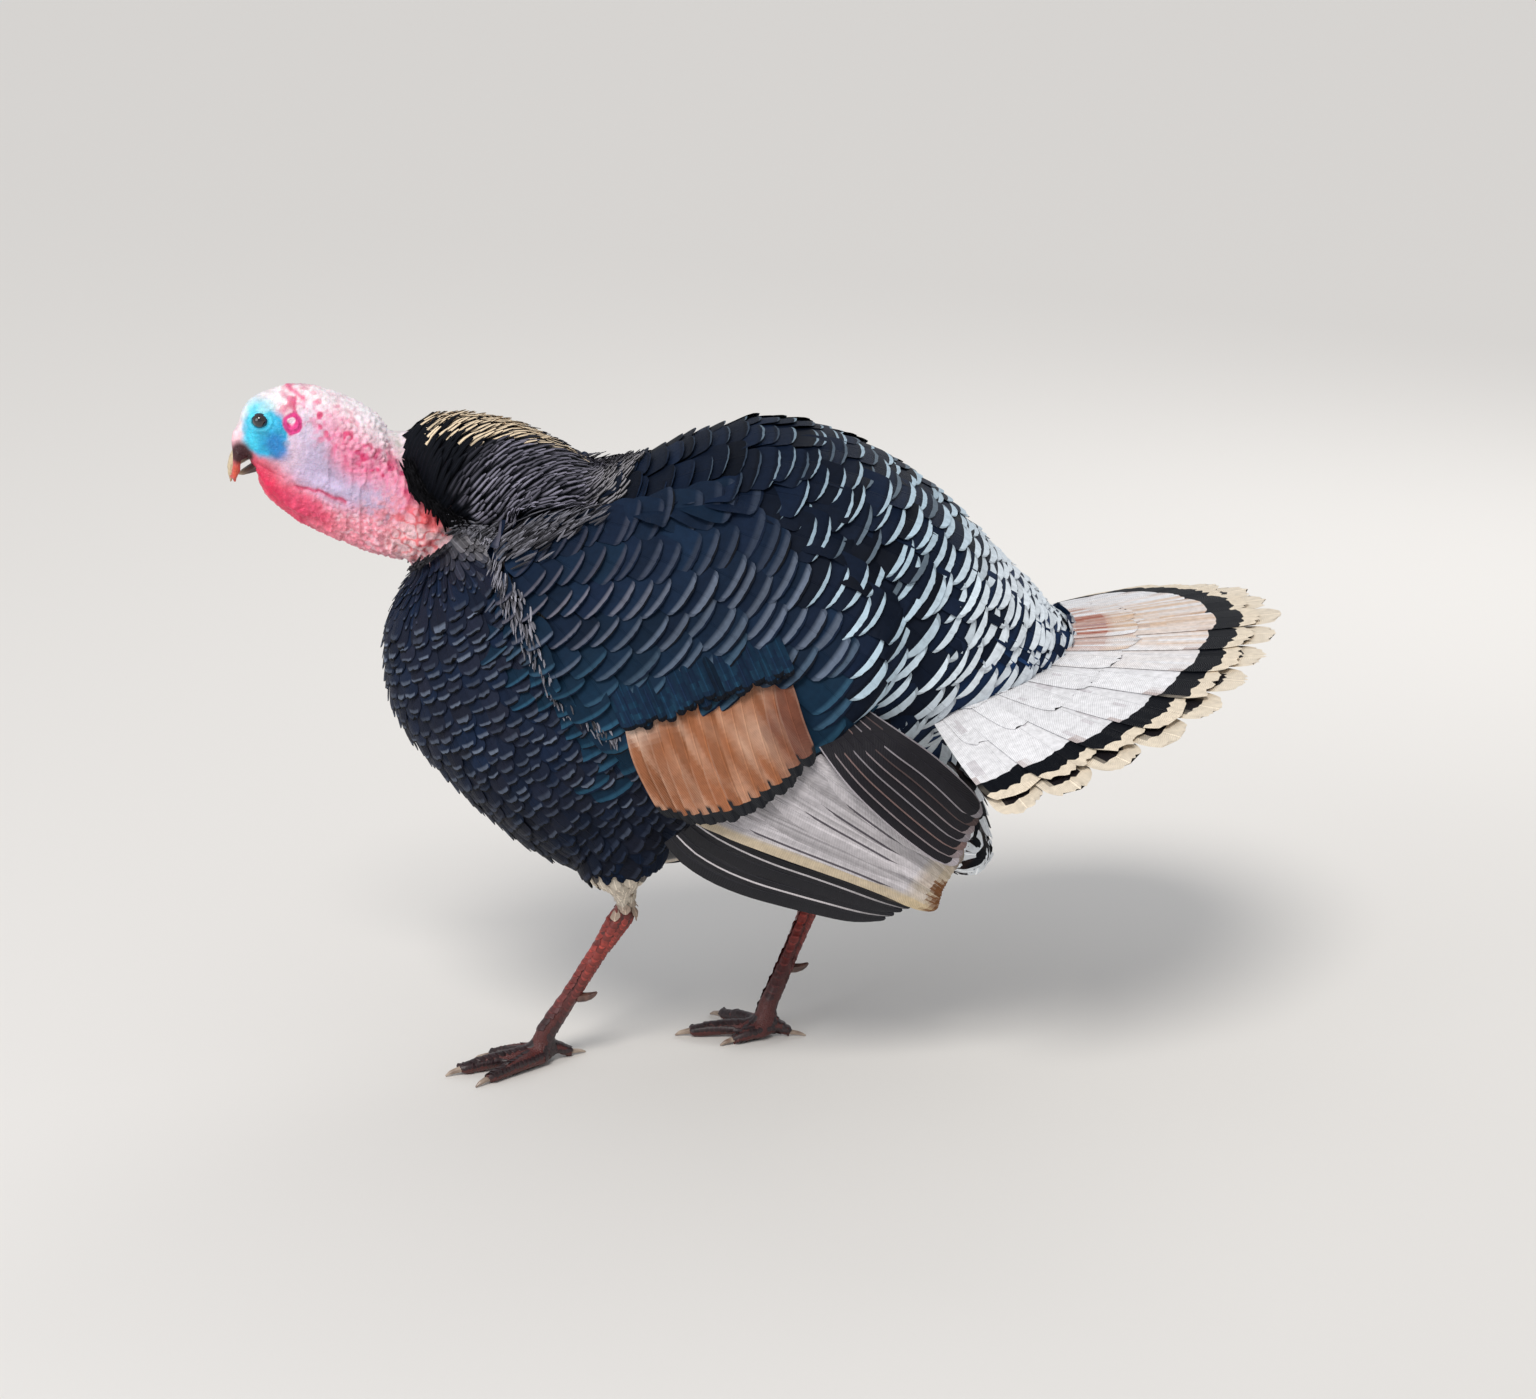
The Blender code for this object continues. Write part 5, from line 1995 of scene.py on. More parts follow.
def tilted(outward: Array, ahead: Array, degrees: Array) -> Array:
    """Returns outward directions rolled about the feathers' own lengths.

    Args:
        outward: The directions out of the coat.
        ahead: The directions along the feathers.
        degrees: How far each is rolled.

    Returns:
        The rolled directions.
    """
    turn = np.radians(np.asarray(degrees))[..., None]
    side = unit(np.cross(ahead, outward))
    return outward * np.cos(turn) + side * np.sin(turn)


def plain(colour: Colour, which: Array) -> Array:
    """Returns one colour for every place."""
    return np.broadcast_to(np.asarray(colour), which.shape + (3,))


def streaks(a: Array, b: Array, c: Array, seed: int) -> Array:
    """Returns soft noise from -1 to 1 over three measures."""
    return mottle(np.stack([a, b, c], -1), 1.0, seed)


def even(count: int) -> Array:
    """Returns even places from -1 to 1, each in the middle of its share."""
    return (np.arange(count) + 0.5) / count * 2 - 1


# ---------------------------------------------------------------- wings
SECONDARY_STATIONS = [
    # rear edge x, y, z, front edge x, y, z
    (0.078, 0.158, 0.410, -0.080, 0.192, 0.345),
    (0.100, 0.173, 0.392, -0.074, 0.199, 0.328),
    (0.124, 0.178, 0.366, -0.030, 0.199, 0.306),
    (0.150, 0.174, 0.334, 0.030, 0.194, 0.281),
    (0.178, 0.164, 0.300, 0.088, 0.185, 0.256),
    (0.202, 0.154, 0.268, 0.140, 0.174, 0.230),
    (0.212, 0.150, 0.242, 0.182, 0.164, 0.203),
]
PRIMARY_STATIONS = [
    (-0.040, 0.180, 0.330, -0.096, 0.186, 0.292),
    (-0.010, 0.180, 0.318, -0.072, 0.186, 0.264),
    (0.035, 0.176, 0.296, -0.020, 0.183, 0.236),
    (0.085, 0.168, 0.270, 0.045, 0.176, 0.214),
    (0.135, 0.160, 0.240, 0.100, 0.168, 0.198),
    (0.172, 0.154, 0.212, 0.148, 0.160, 0.187),
]


@dataclass
class Wing:
    """The folded quills of one wing and the bronze coverts over their roots."""

    side: str
    sign: float
    secondaries: int = 9
    primaries: int = 6
    tertials: int = 7
    bronze: int = 15
    edge_coverts: int = 34

    def build(self) -> None:
        """Builds the wing's long feathers."""
        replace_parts(self.secondary_row(), f"secondaries_{self.side}")
        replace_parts(self.primary_row(), f"primaries_{self.side}")
        self.tertial_row()
        self.bronze_row()
        self.edge_row()

    def across_slab(self, stations: Sequence[Sequence[float]], shares: Array, last: Array) -> Array:
        """Returns paths down a slab at shares of its width, up to a share of its length.

        Args:
            stations: The slab's rear and front edges, from its root on.
            shares: Each path's share of the width, from the front edge.
            last: Each path's share of the length.

        Returns:
            The paths: feather, stop, xyz.
        """
        table = np.array(stations)
        rear, front = table[:, :3], table[:, 3:6]
        stops = np.linspace(0, 1, len(table))
        paths = []
        for share, end in zip(shares, last):
            line = front * (1 - share) + rear * share
            at = np.linspace(0, end, 8)
            path = np.stack([smooth_through(stops, line[:, k], at) for k in range(3)], 1)
            paths.append(path - (MIDDLE_X, 0, 0))
        return np.array(paths) * (1, self.sign, 1)

    def facing(self, paths: Array, roll: float, up: float = 0.12) -> Array:
        """Returns the feathers' outward directions, rolled so that they shingle.

        Args:
            paths: The feathers' middle lines.
            roll: The roll, in degrees.
            up: How far the wing faces up.

        Returns:
            The directions: feather, stop, xyz.
        """
        ahead = unit(np.gradient(paths, axis=1))
        out = unit(np.array((-0.02, self.sign, up)))
        flat = unit(out - ahead * (ahead @ out)[..., None])
        return tilted(flat, ahead, roll * self.sign)

    def raised(self, paths: Array, by: Array) -> Array:
        """Returns paths moved outwards by a distance each."""
        return paths + np.array((0, self.sign, 0)) * np.asarray(by)[:, None, None]

    def flank(self, x: Array, z: Array) -> Array:
        """Returns how far out the wing's solids reach at places seen from the side.

        Args:
            x: The places along the bird.
            z: Their heights.

        Returns:
            The distances from the middle plane.
        """
        solids = [BVHTree.FromPolygons(*(a.tolist() for a in arrays_of(frame["nodes"][node].data)))
            for node in (f"wing_{self.side}", f"secondaries_{self.side}")]
        out = np.full(x.shape, 0.190)
        for at in np.ndindex(*x.shape):
            eye = Vector((x[at], self.sign, z[at]))
            hits = [solid.ray_cast(eye, Vector((0, -self.sign, 0)))[0] for solid in solids]
            reached = [abs(hit[1]) for hit in hits if hit is not None]
            if reached:
                out[at] = max(reached)
        return out

    def secondary_row(self) -> bpy.types.Object:
        """Builds the grey secondaries.

        Returns:
            The piece.
        """
        n = self.secondaries
        share = (np.arange(n) + 0.35) / n
        last = 1.0 - 0.10 * share
        paths = self.across_slab(SECONDARY_STATIONS, share, last)
        paths = self.raised(paths, -0.004 + 0.0016 * np.arange(n))
        cut = Cut(root=0.8, full_at=0.5, tip=0.55, tip_from=0.88, corner=0.35, camber=0.06, rows=26,
            columns=15, fray=0.03)

        def colour(which: Array, along: Array, across: Array) -> Array:
            """Colours the secondaries pale grey, with painted shadow lines, cream edges and worn
            tips.

            Args:
                which: The feathers' numbers.
                along: Places along them, from 0 at the root to 1 at the tip.
                across: Places across them, from -1 to 1.

            Returns:
                The colours, in the arguments' shape with rgb last.
            """
            low_edge = -across * self.sign
            streak = streaks(which * 9.0, along * 2.2, across * 5.5, 5)
            out = shade((1.0, 0.945, 0.985), 0.54 + 0.10 * np.sin(which * 2.3) + 0.15 * streak)
            # painted shadow: a dark line near the lower edge of some feathers, where the next one
            # overlaps
            line = ease(0.70, 0.74, low_edge) * (1 - ease(0.88, 0.92, low_edge))
            edge_shadowed = (which % 3 == 1) + (which >= 5)
            out = mixed(out, (0.05, 0.042, 0.055), line * np.clip(edge_shadowed, 0, 1) * 0.9)
            fine = 0.5 + 0.5 * np.sin(along * 170 + across * 2.5 + which)
            out = out * (1 - 0.10 * fine * ease(0.6, 0.25, along))[..., None]
            cream = (which == 0) * ease(0.1, 0.5, low_edge) * 0.8 + ease(0.86, 0.97, along) * 0.7
            out = mixed(out, (0.60, 0.48, 0.31), np.clip(cream, 0, 1))
            wear_and_highlight = ease(0.93, 0.99, along + 0.03 * streak) * (which < 5)
            out = mixed(out, (0.16, 0.065, 0.025), wear_and_highlight)
            upper = ease(n - 3.2, n - 1.4, which - 0.5 * low_edge)
            return mixed(out, (0.15, 0.125, 0.145), upper * 0.6)

        return Quills(f"secondary_quills_{self.side}", "secondary_quill",
            Plumage("secondary_quills", 0.55, 0.15, 0.0021, 0.0003, 1.05), cut, paths,
            self.facing(paths, -3.0), 0.030, (0.86, 0.95), colour, 613).build()

    def primary_row(self) -> bpy.types.Object:
        """Builds the black primaries with their pale outer edges.

        Returns:
            The piece.
        """
        n = self.primaries
        share = (np.arange(n) + 0.5) / n
        last = 0.90 + 0.10 * share
        paths = self.across_slab(PRIMARY_STATIONS, share, last)
        paths = self.raised(paths, -0.004 + 0.0018 * np.arange(n))
        cut = Cut(root=0.8, full_at=0.4, tip=0.40, tip_from=0.80, corner=0.7, camber=0.10, rows=22,
            columns=13, fray=0.02)

        def colour(which: Array, along: Array, across: Array) -> Array:
            """Colours the primaries black, every other one with a pale line.

            Args:
                which: The feathers' numbers.
                along: Places along them, from 0 at the root to 1 at the tip.
                across: Places across them, from -1 to 1.

            Returns:
                The colours, in the arguments' shape with rgb last.
            """
            low_edge = -across * self.sign
            out = plain((0.010, 0.010, 0.014), which)
            line = ease(0.50, 0.55, low_edge) * (1 - ease(0.70, 0.75, low_edge))
            line = line * (which % 2 == 1) * (1 - 0.6 * ease(0.6, 1.0, along))
            out = mixed(out, (0.62, 0.58, 0.60), line)
            tip = ease(0.90, 0.98, along) * (which > n - 3)
            return mixed(out, (0.35, 0.28, 0.19), tip * 0.7)

        return Quills(f"primary_quills_{self.side}", "primary_quill",
            Plumage("primary_quills", 0.42, 0.3, 0.0020, 0.0003, 1.6), cut, paths,
            self.facing(paths, -3.0), 0.022, (0.86, 0.95), colour, 617).build()

    def tertial_row(self) -> bpy.types.Object:
        """Builds the black tertials that lie over the secondaries' upper edge.

        Returns:
            The piece.
        """
        n = self.tertials
        step = np.arange(n) / (n - 1)
        stops = np.linspace(0, 1, 7)[None, :, None]
        root = np.array((0.044, 0.192, 0.422)) + step[:, None] * np.array((0.048, -0.020, 0.000))
        tip = np.array((0.200, 0.166, 0.260)) + step[:, None] * np.array((0.024, -0.024, 0.046))
        paths = root[:, None] * (1 - stops) + tip[:, None] * stops
        bow = np.sin(stops * math.pi)
        lean = step[:, None, None]
        paths = paths + bow * np.array((-0.002, 0.006, -0.010)) * (1 - lean)
        paths = paths + bow * np.array((0.004, 0.006, 0.008)) * lean
        sunk = 0.038 * (1 - ease(0.02, 0.26, stops))
        paths = (paths - sunk * (0, 1, 0) - (MIDDLE_X, 0, 0)) * (1, self.sign, 1)
        paths = self.raised(paths, 0.012 + 0.0022 * np.arange(n))
        cut = Cut(root=0.6, full_at=0.45, tip=0.60, tip_from=0.86, corner=0.5, camber=0.04, rows=24,
            columns=17, fray=0.02)

        def colour(which: Array, along: Array, across: Array) -> Array:
            """Colours the tertials black with grey rims.

            Args:
                which: The feathers' numbers.
                along: Places along them, from 0 at the root to 1 at the tip.
                across: Places across them, from -1 to 1.

            Returns:
                The colours, in the arguments' shape with rgb last.
            """
            out = plain((0.011, 0.010, 0.014), which)
            rim = (np.abs(across) > 0.90) + (along > 0.965)
            grey = mixed((0.44, 0.40, 0.43), (0.20, 0.13, 0.12), (which * 7) % 3 / 2)
            strength = np.array((0.9, 0.75, 0.9, 0.5, 0.7, 0.35, 0.55))[which]
            return mixed(out, grey, np.clip(rim, 0, 1) * strength)

        return Quills(f"tertials_{self.side}", "secondary_quill",
            Plumage("tertials", 0.5, 0.2, 0.0021, 0.0003, 1.3), cut, paths,
            self.facing(paths, 14.0), 0.024, (0.86, 0.965), colour, 619).build()

    def edge_row(self) -> bpy.types.Object:
        """Builds the row of fine coverts that lie over the bronze band's roots.

        Returns:
            The piece.
        """
        n = self.edge_coverts
        step = np.linspace(0, 1, n)
        rng = np.random.default_rng(641)
        stops = np.linspace(0, 1, 6)[None, :]
        loose = rng.normal(0, 1, (2, n))
        tip_x = -0.134 + 0.164 * step + 0.0015 * loose[0]
        tip_z = 0.416 + 0.051 * step + 0.0026 * loose[1]
        x = tip_x[:, None] - 0.022 * (1 - stops)
        z = tip_z[:, None] + 0.050 * (1 - stops)
        y = self.flank(x - MIDDLE_X, z) + np.interp(stops, (0.0, 0.4, 1.0), (-0.010, -0.004, 0.004))
        paths = np.stack([x - MIDDLE_X, y * self.sign, z], 2)
        paths = self.raised(paths, 0.0009 * (np.arange(n) % 2))
        cut = Cut(root=0.6, full_at=0.4, tip=0.70, tip_from=0.86, corner=0.30, camber=0.14, rows=14)
        tone = rng.normal(1, 0.15, n)

        def colour(which: Array, along: Array, across: Array) -> Array:
            """Colours the coverts blue over navy, with black tips.

            Args:
                which: The feathers' numbers.
                along: Places along them, from 0 at the root to 1 at the tip.
                across: Places across them, from -1 to 1.

            Returns:
                The colours, in the arguments' shape with rgb last.
            """
            grain = streaks(which * 3.0 + across, along * 9.0, across, 23)
            out = mixed(NAVY, TEAL, np.clip(0.55 + 0.6 * grain, 0, 1))
            bright = np.clip(grain, 0, 1) * ease(0.45, 0.75, along)
            out = mixed(out, AZURE, 0.35 * bright) * tone[which][..., None]
            return mixed(out, JET, ease(0.91, 0.95, along))

        return Quills(f"edge_coverts_{self.side}", "wing_covert",
            Plumage("edge_coverts", 0.55, 0.08), cut, paths, self.facing(paths, 0.0, 0.30), 0.012,
            (0.85, 0.93), colour, 641).build()

    def bronze_row(self) -> bpy.types.Object:
        """Builds the band of bronze coverts over the secondaries' roots.

        Returns:
            The piece.
        """
        n = self.bronze
        step = np.arange(n) / (n - 1)
        rng = np.random.default_rng(631)
        stops = np.linspace(0, 1, 7)[None, :]
        top_x, top_z = -0.131 + 0.149 * step, 0.425 + 0.046 * step
        end_x = -0.0885 + 0.1365 * step + rng.normal(0, 0.0012, n)
        end_z = 0.325 - 0.0463 * step + 0.0963 * step**2 + rng.normal(0, 0.0012, n)
        x = top_x[:, None] * (1 - stops) + end_x[:, None] * stops - 0.004 * np.sin(stops * math.pi)
        z = top_z[:, None] * (1 - stops) + end_z[:, None] * stops
        y = self.flank(x - MIDDLE_X, z)
        for _ in range(3):
            y[:, 1:-1] = (y[:, :-2] + y[:, 1:-1] * 2 + y[:, 2:]) / 4
        y = y + np.interp(stops, (0.0, 0.25, 0.45, 1.0), (-0.010, -0.004, 0.002, 0.004))
        paths = np.stack([x - MIDDLE_X, y * self.sign, z], 2)
        paths = self.raised(paths, 0.0005 * np.arange(n)[::-1])
        cut = Cut(root=0.6, full_at=0.4, tip=0.66, tip_from=0.84, corner=0.40, camber=0.09, rows=26,
            columns=13, fray=0.04)
        tone = rng.normal(1, 0.07, n)

        def colour(which: Array, along: Array, across: Array) -> Array:
            """Colours the coverts bronze with a black border.

            Args:
                which: The feathers' numbers.
                along: Places along them, from 0 at the root to 1 at the tip.
                across: Places across them, from -1 to 1.

            Returns:
                The colours, in the arguments' shape with rgb last.
            """
            place = which + across * 0.9 * self.sign
            fold = place * 1.1 - along * 3.2
            streak = streaks(fold * 1.5, along * 2.0, 0 * place, 9)
            cloud = streaks(place * 0.5, along * 4.0, 0 * place, 19)
            light = np.clip(0.22 + 0.65 * streak + 0.45 * cloud, 0, 1)
            out = mixed(BRONZE, (0.56, 0.31, 0.20), light)
            out = out * tone[which][..., None]
            # painted highlight: pale near the roots of the front feathers
            wear_and_highlight = ease(0.35, 0.0, along) * ease(4.0, 0.0, which)
            out = mixed(out, (0.62, 0.45, 0.36), np.clip(wear_and_highlight + 0.15 * streak, 0, 1))
            out = mixed(out, (0.115, 0.034, 0.024), ease(n - 4.5, n - 0.5, which + cloud) * 0.85)
            out = mixed(out, (0.62, 0.42, 0.31), (np.abs(across) > 0.84) * 0.16)
            return mixed(out, JET, ease(0.900, 0.915, along + 0.05 * np.abs(across) ** 2))

        return Quills(f"bronze_coverts_{self.side}", "wing_covert",
            Plumage("bronze_coverts", 0.46, 0.25, 0.0018, 0.0003, 1.25), cut, paths,
            self.facing(paths, 2.5, 0.30), 0.0225, (0.84, 0.905), colour, 631).build()


# ---------------------------------------------------------------- tail
@dataclass
class Tail:
    """The fan: black quills, long white coverts over them and black ones under them."""

    root: Tuple[float, float, float] = (0.155, 0.0, 0.434)
    length: float = 0.400
    side_shorter: float = 0.095
    half_spread: float = math.radians(74)
    droop: float = math.radians(22)
    rise: float = math.radians(6)
    quills: int = 18

    def build(self) -> None:
        """Builds the fan's layers."""
        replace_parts(self.quill_layer(), "tail_fan")
        upper = [self.covert_layer(k) for k in range(3)]
        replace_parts(upper[0], "tail_coverts_upper")
        under = [self.under_layer(k) for k in range(5)]
        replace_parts(under[0], "tail_coverts_under")

    def place(self, reach: Array, spread: Array) -> Array:
        """Returns points of the fan at shares of its length and of its half spread.

        Args:
            reach: The shares of the length, from the root.
            spread: The shares of the half spread, from -1 to 1.

        Returns:
            The points, with xyz last.
        """
        angle = self.half_spread * spread
        length = self.length - self.side_shorter * np.abs(spread) ** 1.8
        droop = self.droop * spread**2 - self.rise
        radius = length * reach
        out = np.stack([radius * np.cos(angle) * np.cos(droop),
            radius * np.sin(angle) * np.cos(droop), -radius * np.sin(droop)], -1)
        return out + spot(*self.root)

    def laid(self, spreads: Array, start: float, ends: Array,
            height: Callable[[Array, Array], Array], tilt: float,
            below: bool = False) -> Tuple[Array, Array]:
        """Lays feathers over the fan.

        Args:
            spreads: Where each feather lies across the fan.
            start: The reach of their roots.
            ends: The reach of each tip.
            height: The height over the fan at a reach and a spread.
            tilt: How far each feather leans, so that the middle ones lie on top.
            below: Whether they face down.

        Returns:
            Their paths and their outward directions.
        """
        stops = np.linspace(0, 1, 9)[None, :]
        reach = start + (ends[:, None] - start) * stops
        spread = np.broadcast_to(spreads[:, None], reach.shape)
        paths = self.place(reach, spread)
        nearby = self.place(reach, spread + 0.02)
        ahead = unit(np.gradient(paths, axis=1))
        up = unit(np.cross(ahead, unit(nearby - paths)))
        up = up * np.sign(up[..., 2:3])
        lifted = paths + up * height(reach, spread)[..., None]
        ahead = unit(np.gradient(lifted, axis=1))
        up = unit(up - ahead * (up * ahead).sum(2, keepdims=True))
        roll = tilt * np.tanh(spreads * 9)[:, None]
        up = tilted(up, ahead, roll)
        return lifted, up * (-1 if below else 1)

    def quill_layer(self) -> bpy.types.Object:
        """Builds the black quills with their cream tips.

        Returns:
            The piece.
        """
        n = self.quills
        spreads = even(n) * 1.02
        ends = 0.985 + 0.02 * np.random.default_rng(701).random(n)

        def height(reach: Array, spread: Array) -> Array:
            """Returns how far the quills lie under the fan."""
            return -0.0005 - 0.0030 * np.abs(spread)

        paths, outs = self.laid(spreads, 0.10, ends, height, 3.0)
        cut = Cut(root=0.14, full_at=1.0, tip=0.80, tip_from=0.92, corner=0.34, camber=0.04,
            rows=24, columns=15, fray=0.07)

        def colour(which: Array, along: Array, across: Array) -> Array:
            """Colours the quills black with a brown line and a cream tip.

            Args:
                which: The feathers' numbers.
                along: Places along them, from 0 at the root to 1 at the tip.
                across: Places across them, from -1 to 1.

            Returns:
                The colours, in the arguments' shape with rgb last.
            """
            grain = streaks(which * 5.0, along * 26, across * 4, 3)
            out = plain((0.016, 0.014, 0.016), which)
            edge = along + 0.035 * np.abs(across) ** 2 + 0.008 * grain
            out = mixed(out, (0.30, 0.17, 0.09), ease(0.82, 0.86, edge) * 0.6)
            out = mixed(out, (0.012, 0.010, 0.012), ease(0.865, 0.872, edge))
            return mixed(out, (0.80, 0.70, 0.56), ease(0.925, 0.935, edge))

        width = 0.062 - 0.010 * np.abs(spreads)
        return Quills("tail_quills", "tail_quill",
            Plumage("tail_quills", 0.5, 0.15, 0.0024, 0.0003, 1.4), cut, paths, outs, width,
            (0.86, 0.935), colour, 701).build()

    def covert_layer(self, layer: int) -> bpy.types.Object:
        """Builds one layer of the white coverts over the fan.

        Args:
            layer: The layer, 0 for the longest coverts.

        Returns:
            The piece.
        """
        counts, reaches = (16, 14, 12), (0.945, 0.64, 0.46)
        n, reach_end = counts[layer], reaches[layer]
        rng = np.random.default_rng(709 + layer)
        wide = (1.0, 0.96, 0.86)[layer]
        spreads = even(n) * wide + rng.normal(0, 0.004, n)
        ends = reach_end * (1 + rng.normal(0, 0.006, n)) * (1 - 0.02 * np.abs(spreads))
        base = (0.0022, 0.0036, 0.0060)[layer]

        def height(reach: Array, spread: Array) -> Array:
            """Returns how high the layer lies over the fan."""
            hump = np.cos(np.clip(np.abs(spread), 0, 1) * math.pi / 2) ** 0.5
            return base * (1 - 0.3 * reach / reach_end) * (0.4 + 0.6 * hump) + 0.0012

        paths, outs = self.laid(spreads, 0.06, ends, height, 1.4)
        cut = Cut(root=0.20, full_at=1.0, tip=0.82, tip_from=0.90, corner=0.26, camber=0.03,
            rows=24, columns=15, fray=0.07)
        long = layer == 0

        def colour(which: Array, along: Array, across: Array) -> Array:
            """Colours the coverts white, the longest with a dark band and a cream tip.

            Args:
                which: The feathers' numbers.
                along: Places along them, from 0 at the root to 1 at the tip.
                across: Places across them, from -1 to 1.

            Returns:
                The colours, in the arguments' shape with rgb last.
            """
            place = np.stack([which * 5.0 + layer, along * 20, across * 5], -1)
            grain = mottle(place, 1.0, 13 + layer)
            tone = 0.86 + 0.05 * streaks(which * 3.1, along, along, 4)
            out = shade((0.98, 0.975, 1.0), tone)
            s = np.abs(spreads[which])
            streak = streaks(which * 5.0, along * 5, across * 7, 43)
            tan = ease(0.42, 0.08, s) * ease(0.30, 0.60, along)
            out = mixed(out, (0.70, 0.47, 0.30), tan * np.clip(0.40 + 0.8 * streak, 0, 1))
            reach = along * reach_end
            red = ease(0.34, 0.10, s) * ease(0.42, 0.46, reach) * (1 - ease(0.54, 0.60, reach))
            out = mixed(out, (0.40, 0.10, 0.06), red * np.clip(0.45 + streak, 0, 1))
            dash = (streak > 0.62) * ease(0.35, 0.5, along) * (along < 0.84)
            out = mixed(out, (0.52, 0.47, 0.50), dash * 0.45)
            if long:
                edge = along + 0.020 * np.abs(across) ** 2 + 0.006 * grain
                out = mixed(out, (0.25, 0.11, 0.07), ease(0.855, 0.875, edge) * 0.7)
                out = mixed(out, JET, ease(0.872, 0.878, edge))
                out = mixed(out, (0.82, 0.71, 0.56), ease(0.952, 0.958, edge))
            return out

        width = self.length * reach_end * 2 * self.half_spread / n * 0.86 * 1.45
        borders = (0.872, 0.952) if long else (0.86, 0.94)
        return Quills(f"tail_coverts_{layer + 1}", "tail_covert",
            Plumage(f"tail_coverts_{layer + 1}", 0.55, 0.08, 0.0024, 0.0003, 1.02), cut, paths,
            outs, width * 0.92, borders, colour, 719 + layer).build()

    def under_layer(self, layer: int) -> bpy.types.Object:
        """Builds one layer of the loose coverts under the fan.

        Args:
            layer: The layer, 0 for the longest coverts.

        Returns:
            The piece.
        """
        n = 13 - layer
        rng = np.random.default_rng(733 + layer)
        reach_end = 0.70 - 0.075 * layer
        spreads = even(n) * (0.80 - 0.05 * layer)
        spreads = spreads + rng.normal(0, 0.02, n)
        ends = reach_end * (1 + rng.normal(0, 0.04, n)) * (1 - 0.12 * spreads**2)

        def height(reach: Array, spread: Array) -> Array:
            """Returns how far the layer hangs under the fan.

            Args:
                reach: The shares of the length, from the root.
                spread: The shares of the half spread, from -1 to 1.

            Returns:
                The heights over the fan, below 0.
            """
            swell = np.clip(1 - (spread / 0.85) ** 2, 0, 1)
            fall = np.clip(1 - reach / reach_end, 0, 1) ** 0.7
            return -(0.006 + 0.004 * layer + (0.012 + 0.011 * layer) * swell * fall)

        paths, outs = self.laid(spreads, 0.14, ends, height, -4.0, below=True)
        cut = Cut(root=0.25, full_at=0.8, tip=0.5, tip_from=0.75, corner=0.5, camber=0.16, rows=18,
            columns=11, fray=0.12)
        white = rng.random(n) < 0.35

        def colour(which: Array, along: Array, across: Array) -> Array:
            """Colours the under coverts black, some with a pale tip.

            Args:
                which: The feathers' numbers.
                along: Places along them, from 0 at the root to 1 at the tip.
                across: Places across them, from -1 to 1.

            Returns:
                The colours, in the arguments' shape with rgb last.
            """
            out = plain((0.014, 0.010, 0.011), which)
            tip = ease(0.86, 0.90, along + 0.03 * across**2) * (0.25 + 0.75 * white[which])
            return mixed(out, (0.62, 0.52, 0.42), tip)

        return Quills(f"under_coverts_{layer + 1}", "tail_covert",
            Plumage("under_coverts", 0.6, 0.08, 0.0024, 0.0004, 1.2), cut, paths, outs,
            0.062 - 0.004 * layer, (0.80, 0.885), colour, 739 + layer).build()


# ---------------------------------------------------------------- eyes, beak, feet
LEGS = {
    "left": {
        "hock": (-0.133, -0.062, 0.178), "pad": (-0.226, -0.048, 0.0),
        "middle": (-0.327, -0.083, 0.0), "inner": (-0.298, -0.040, 0.0),
        "outer": (-0.295, -0.114, 0.0), "hind": (-0.179, -0.027, 0.0),
    },
    "right": {
        "hock": (0.084, 0.064, 0.163), "pad": (0.015, 0.006, 0.0),
        "middle": (-0.081, 0.012, 0.0), "inner": (-0.034, -0.020, 0.0),
        "outer": (-0.040, 0.070, 0.0), "hind": (0.060, 0.001, 0.0),
    },
}
TOES = ("middle", "inner", "outer", "hind")
TOE_RADIUS = {"middle": 0.0088, "inner": 0.0078, "outer": 0.0080, "hind": 0.0070}
MAROON: Colour = (0.230, 0.028, 0.020)
# painted shade that the scutes take on towards the toes
SCUTE_SHADE: Colour = (0.025, 0.011, 0.013)
SMALL_BORDERS = (0.6, 0.8)  # the shares of a scute's or tuft's length where its colours change
SCUTE = Horn("scute", "plumage", 300.0, 5.0, 0.62, 1.30, 0.0006, 0.46, 0.12, 0.35)


def fine_copy(name: str, nodes: Sequence[str], cuts: int, rounds: int) -> bpy.types.Mesh:
    """Copies solid nodes as one mesh, divided finely and rounded off.

    Args:
        name: The mesh's name.
        nodes: The nodes to copy.
        cuts: Into how many each edge is cut, less one.
        rounds: How often the copy is smoothed.

    Returns:
        The mesh.
    """
    tool = bmesh.new()
    for node in nodes:
        tool.from_mesh(frame["nodes"][node].data)
    bmesh.ops.remove_doubles(tool, verts=tool.verts, dist=1e-6)
    bmesh.ops.subdivide_edges(tool, edges=tool.edges, cuts=cuts, use_grid_fill=True)
    out = smooth_mesh(tool, name)
    move_points(out, relaxed(arrays_of(out)[0], edges_of(out), rounds, 1.0))
    return out


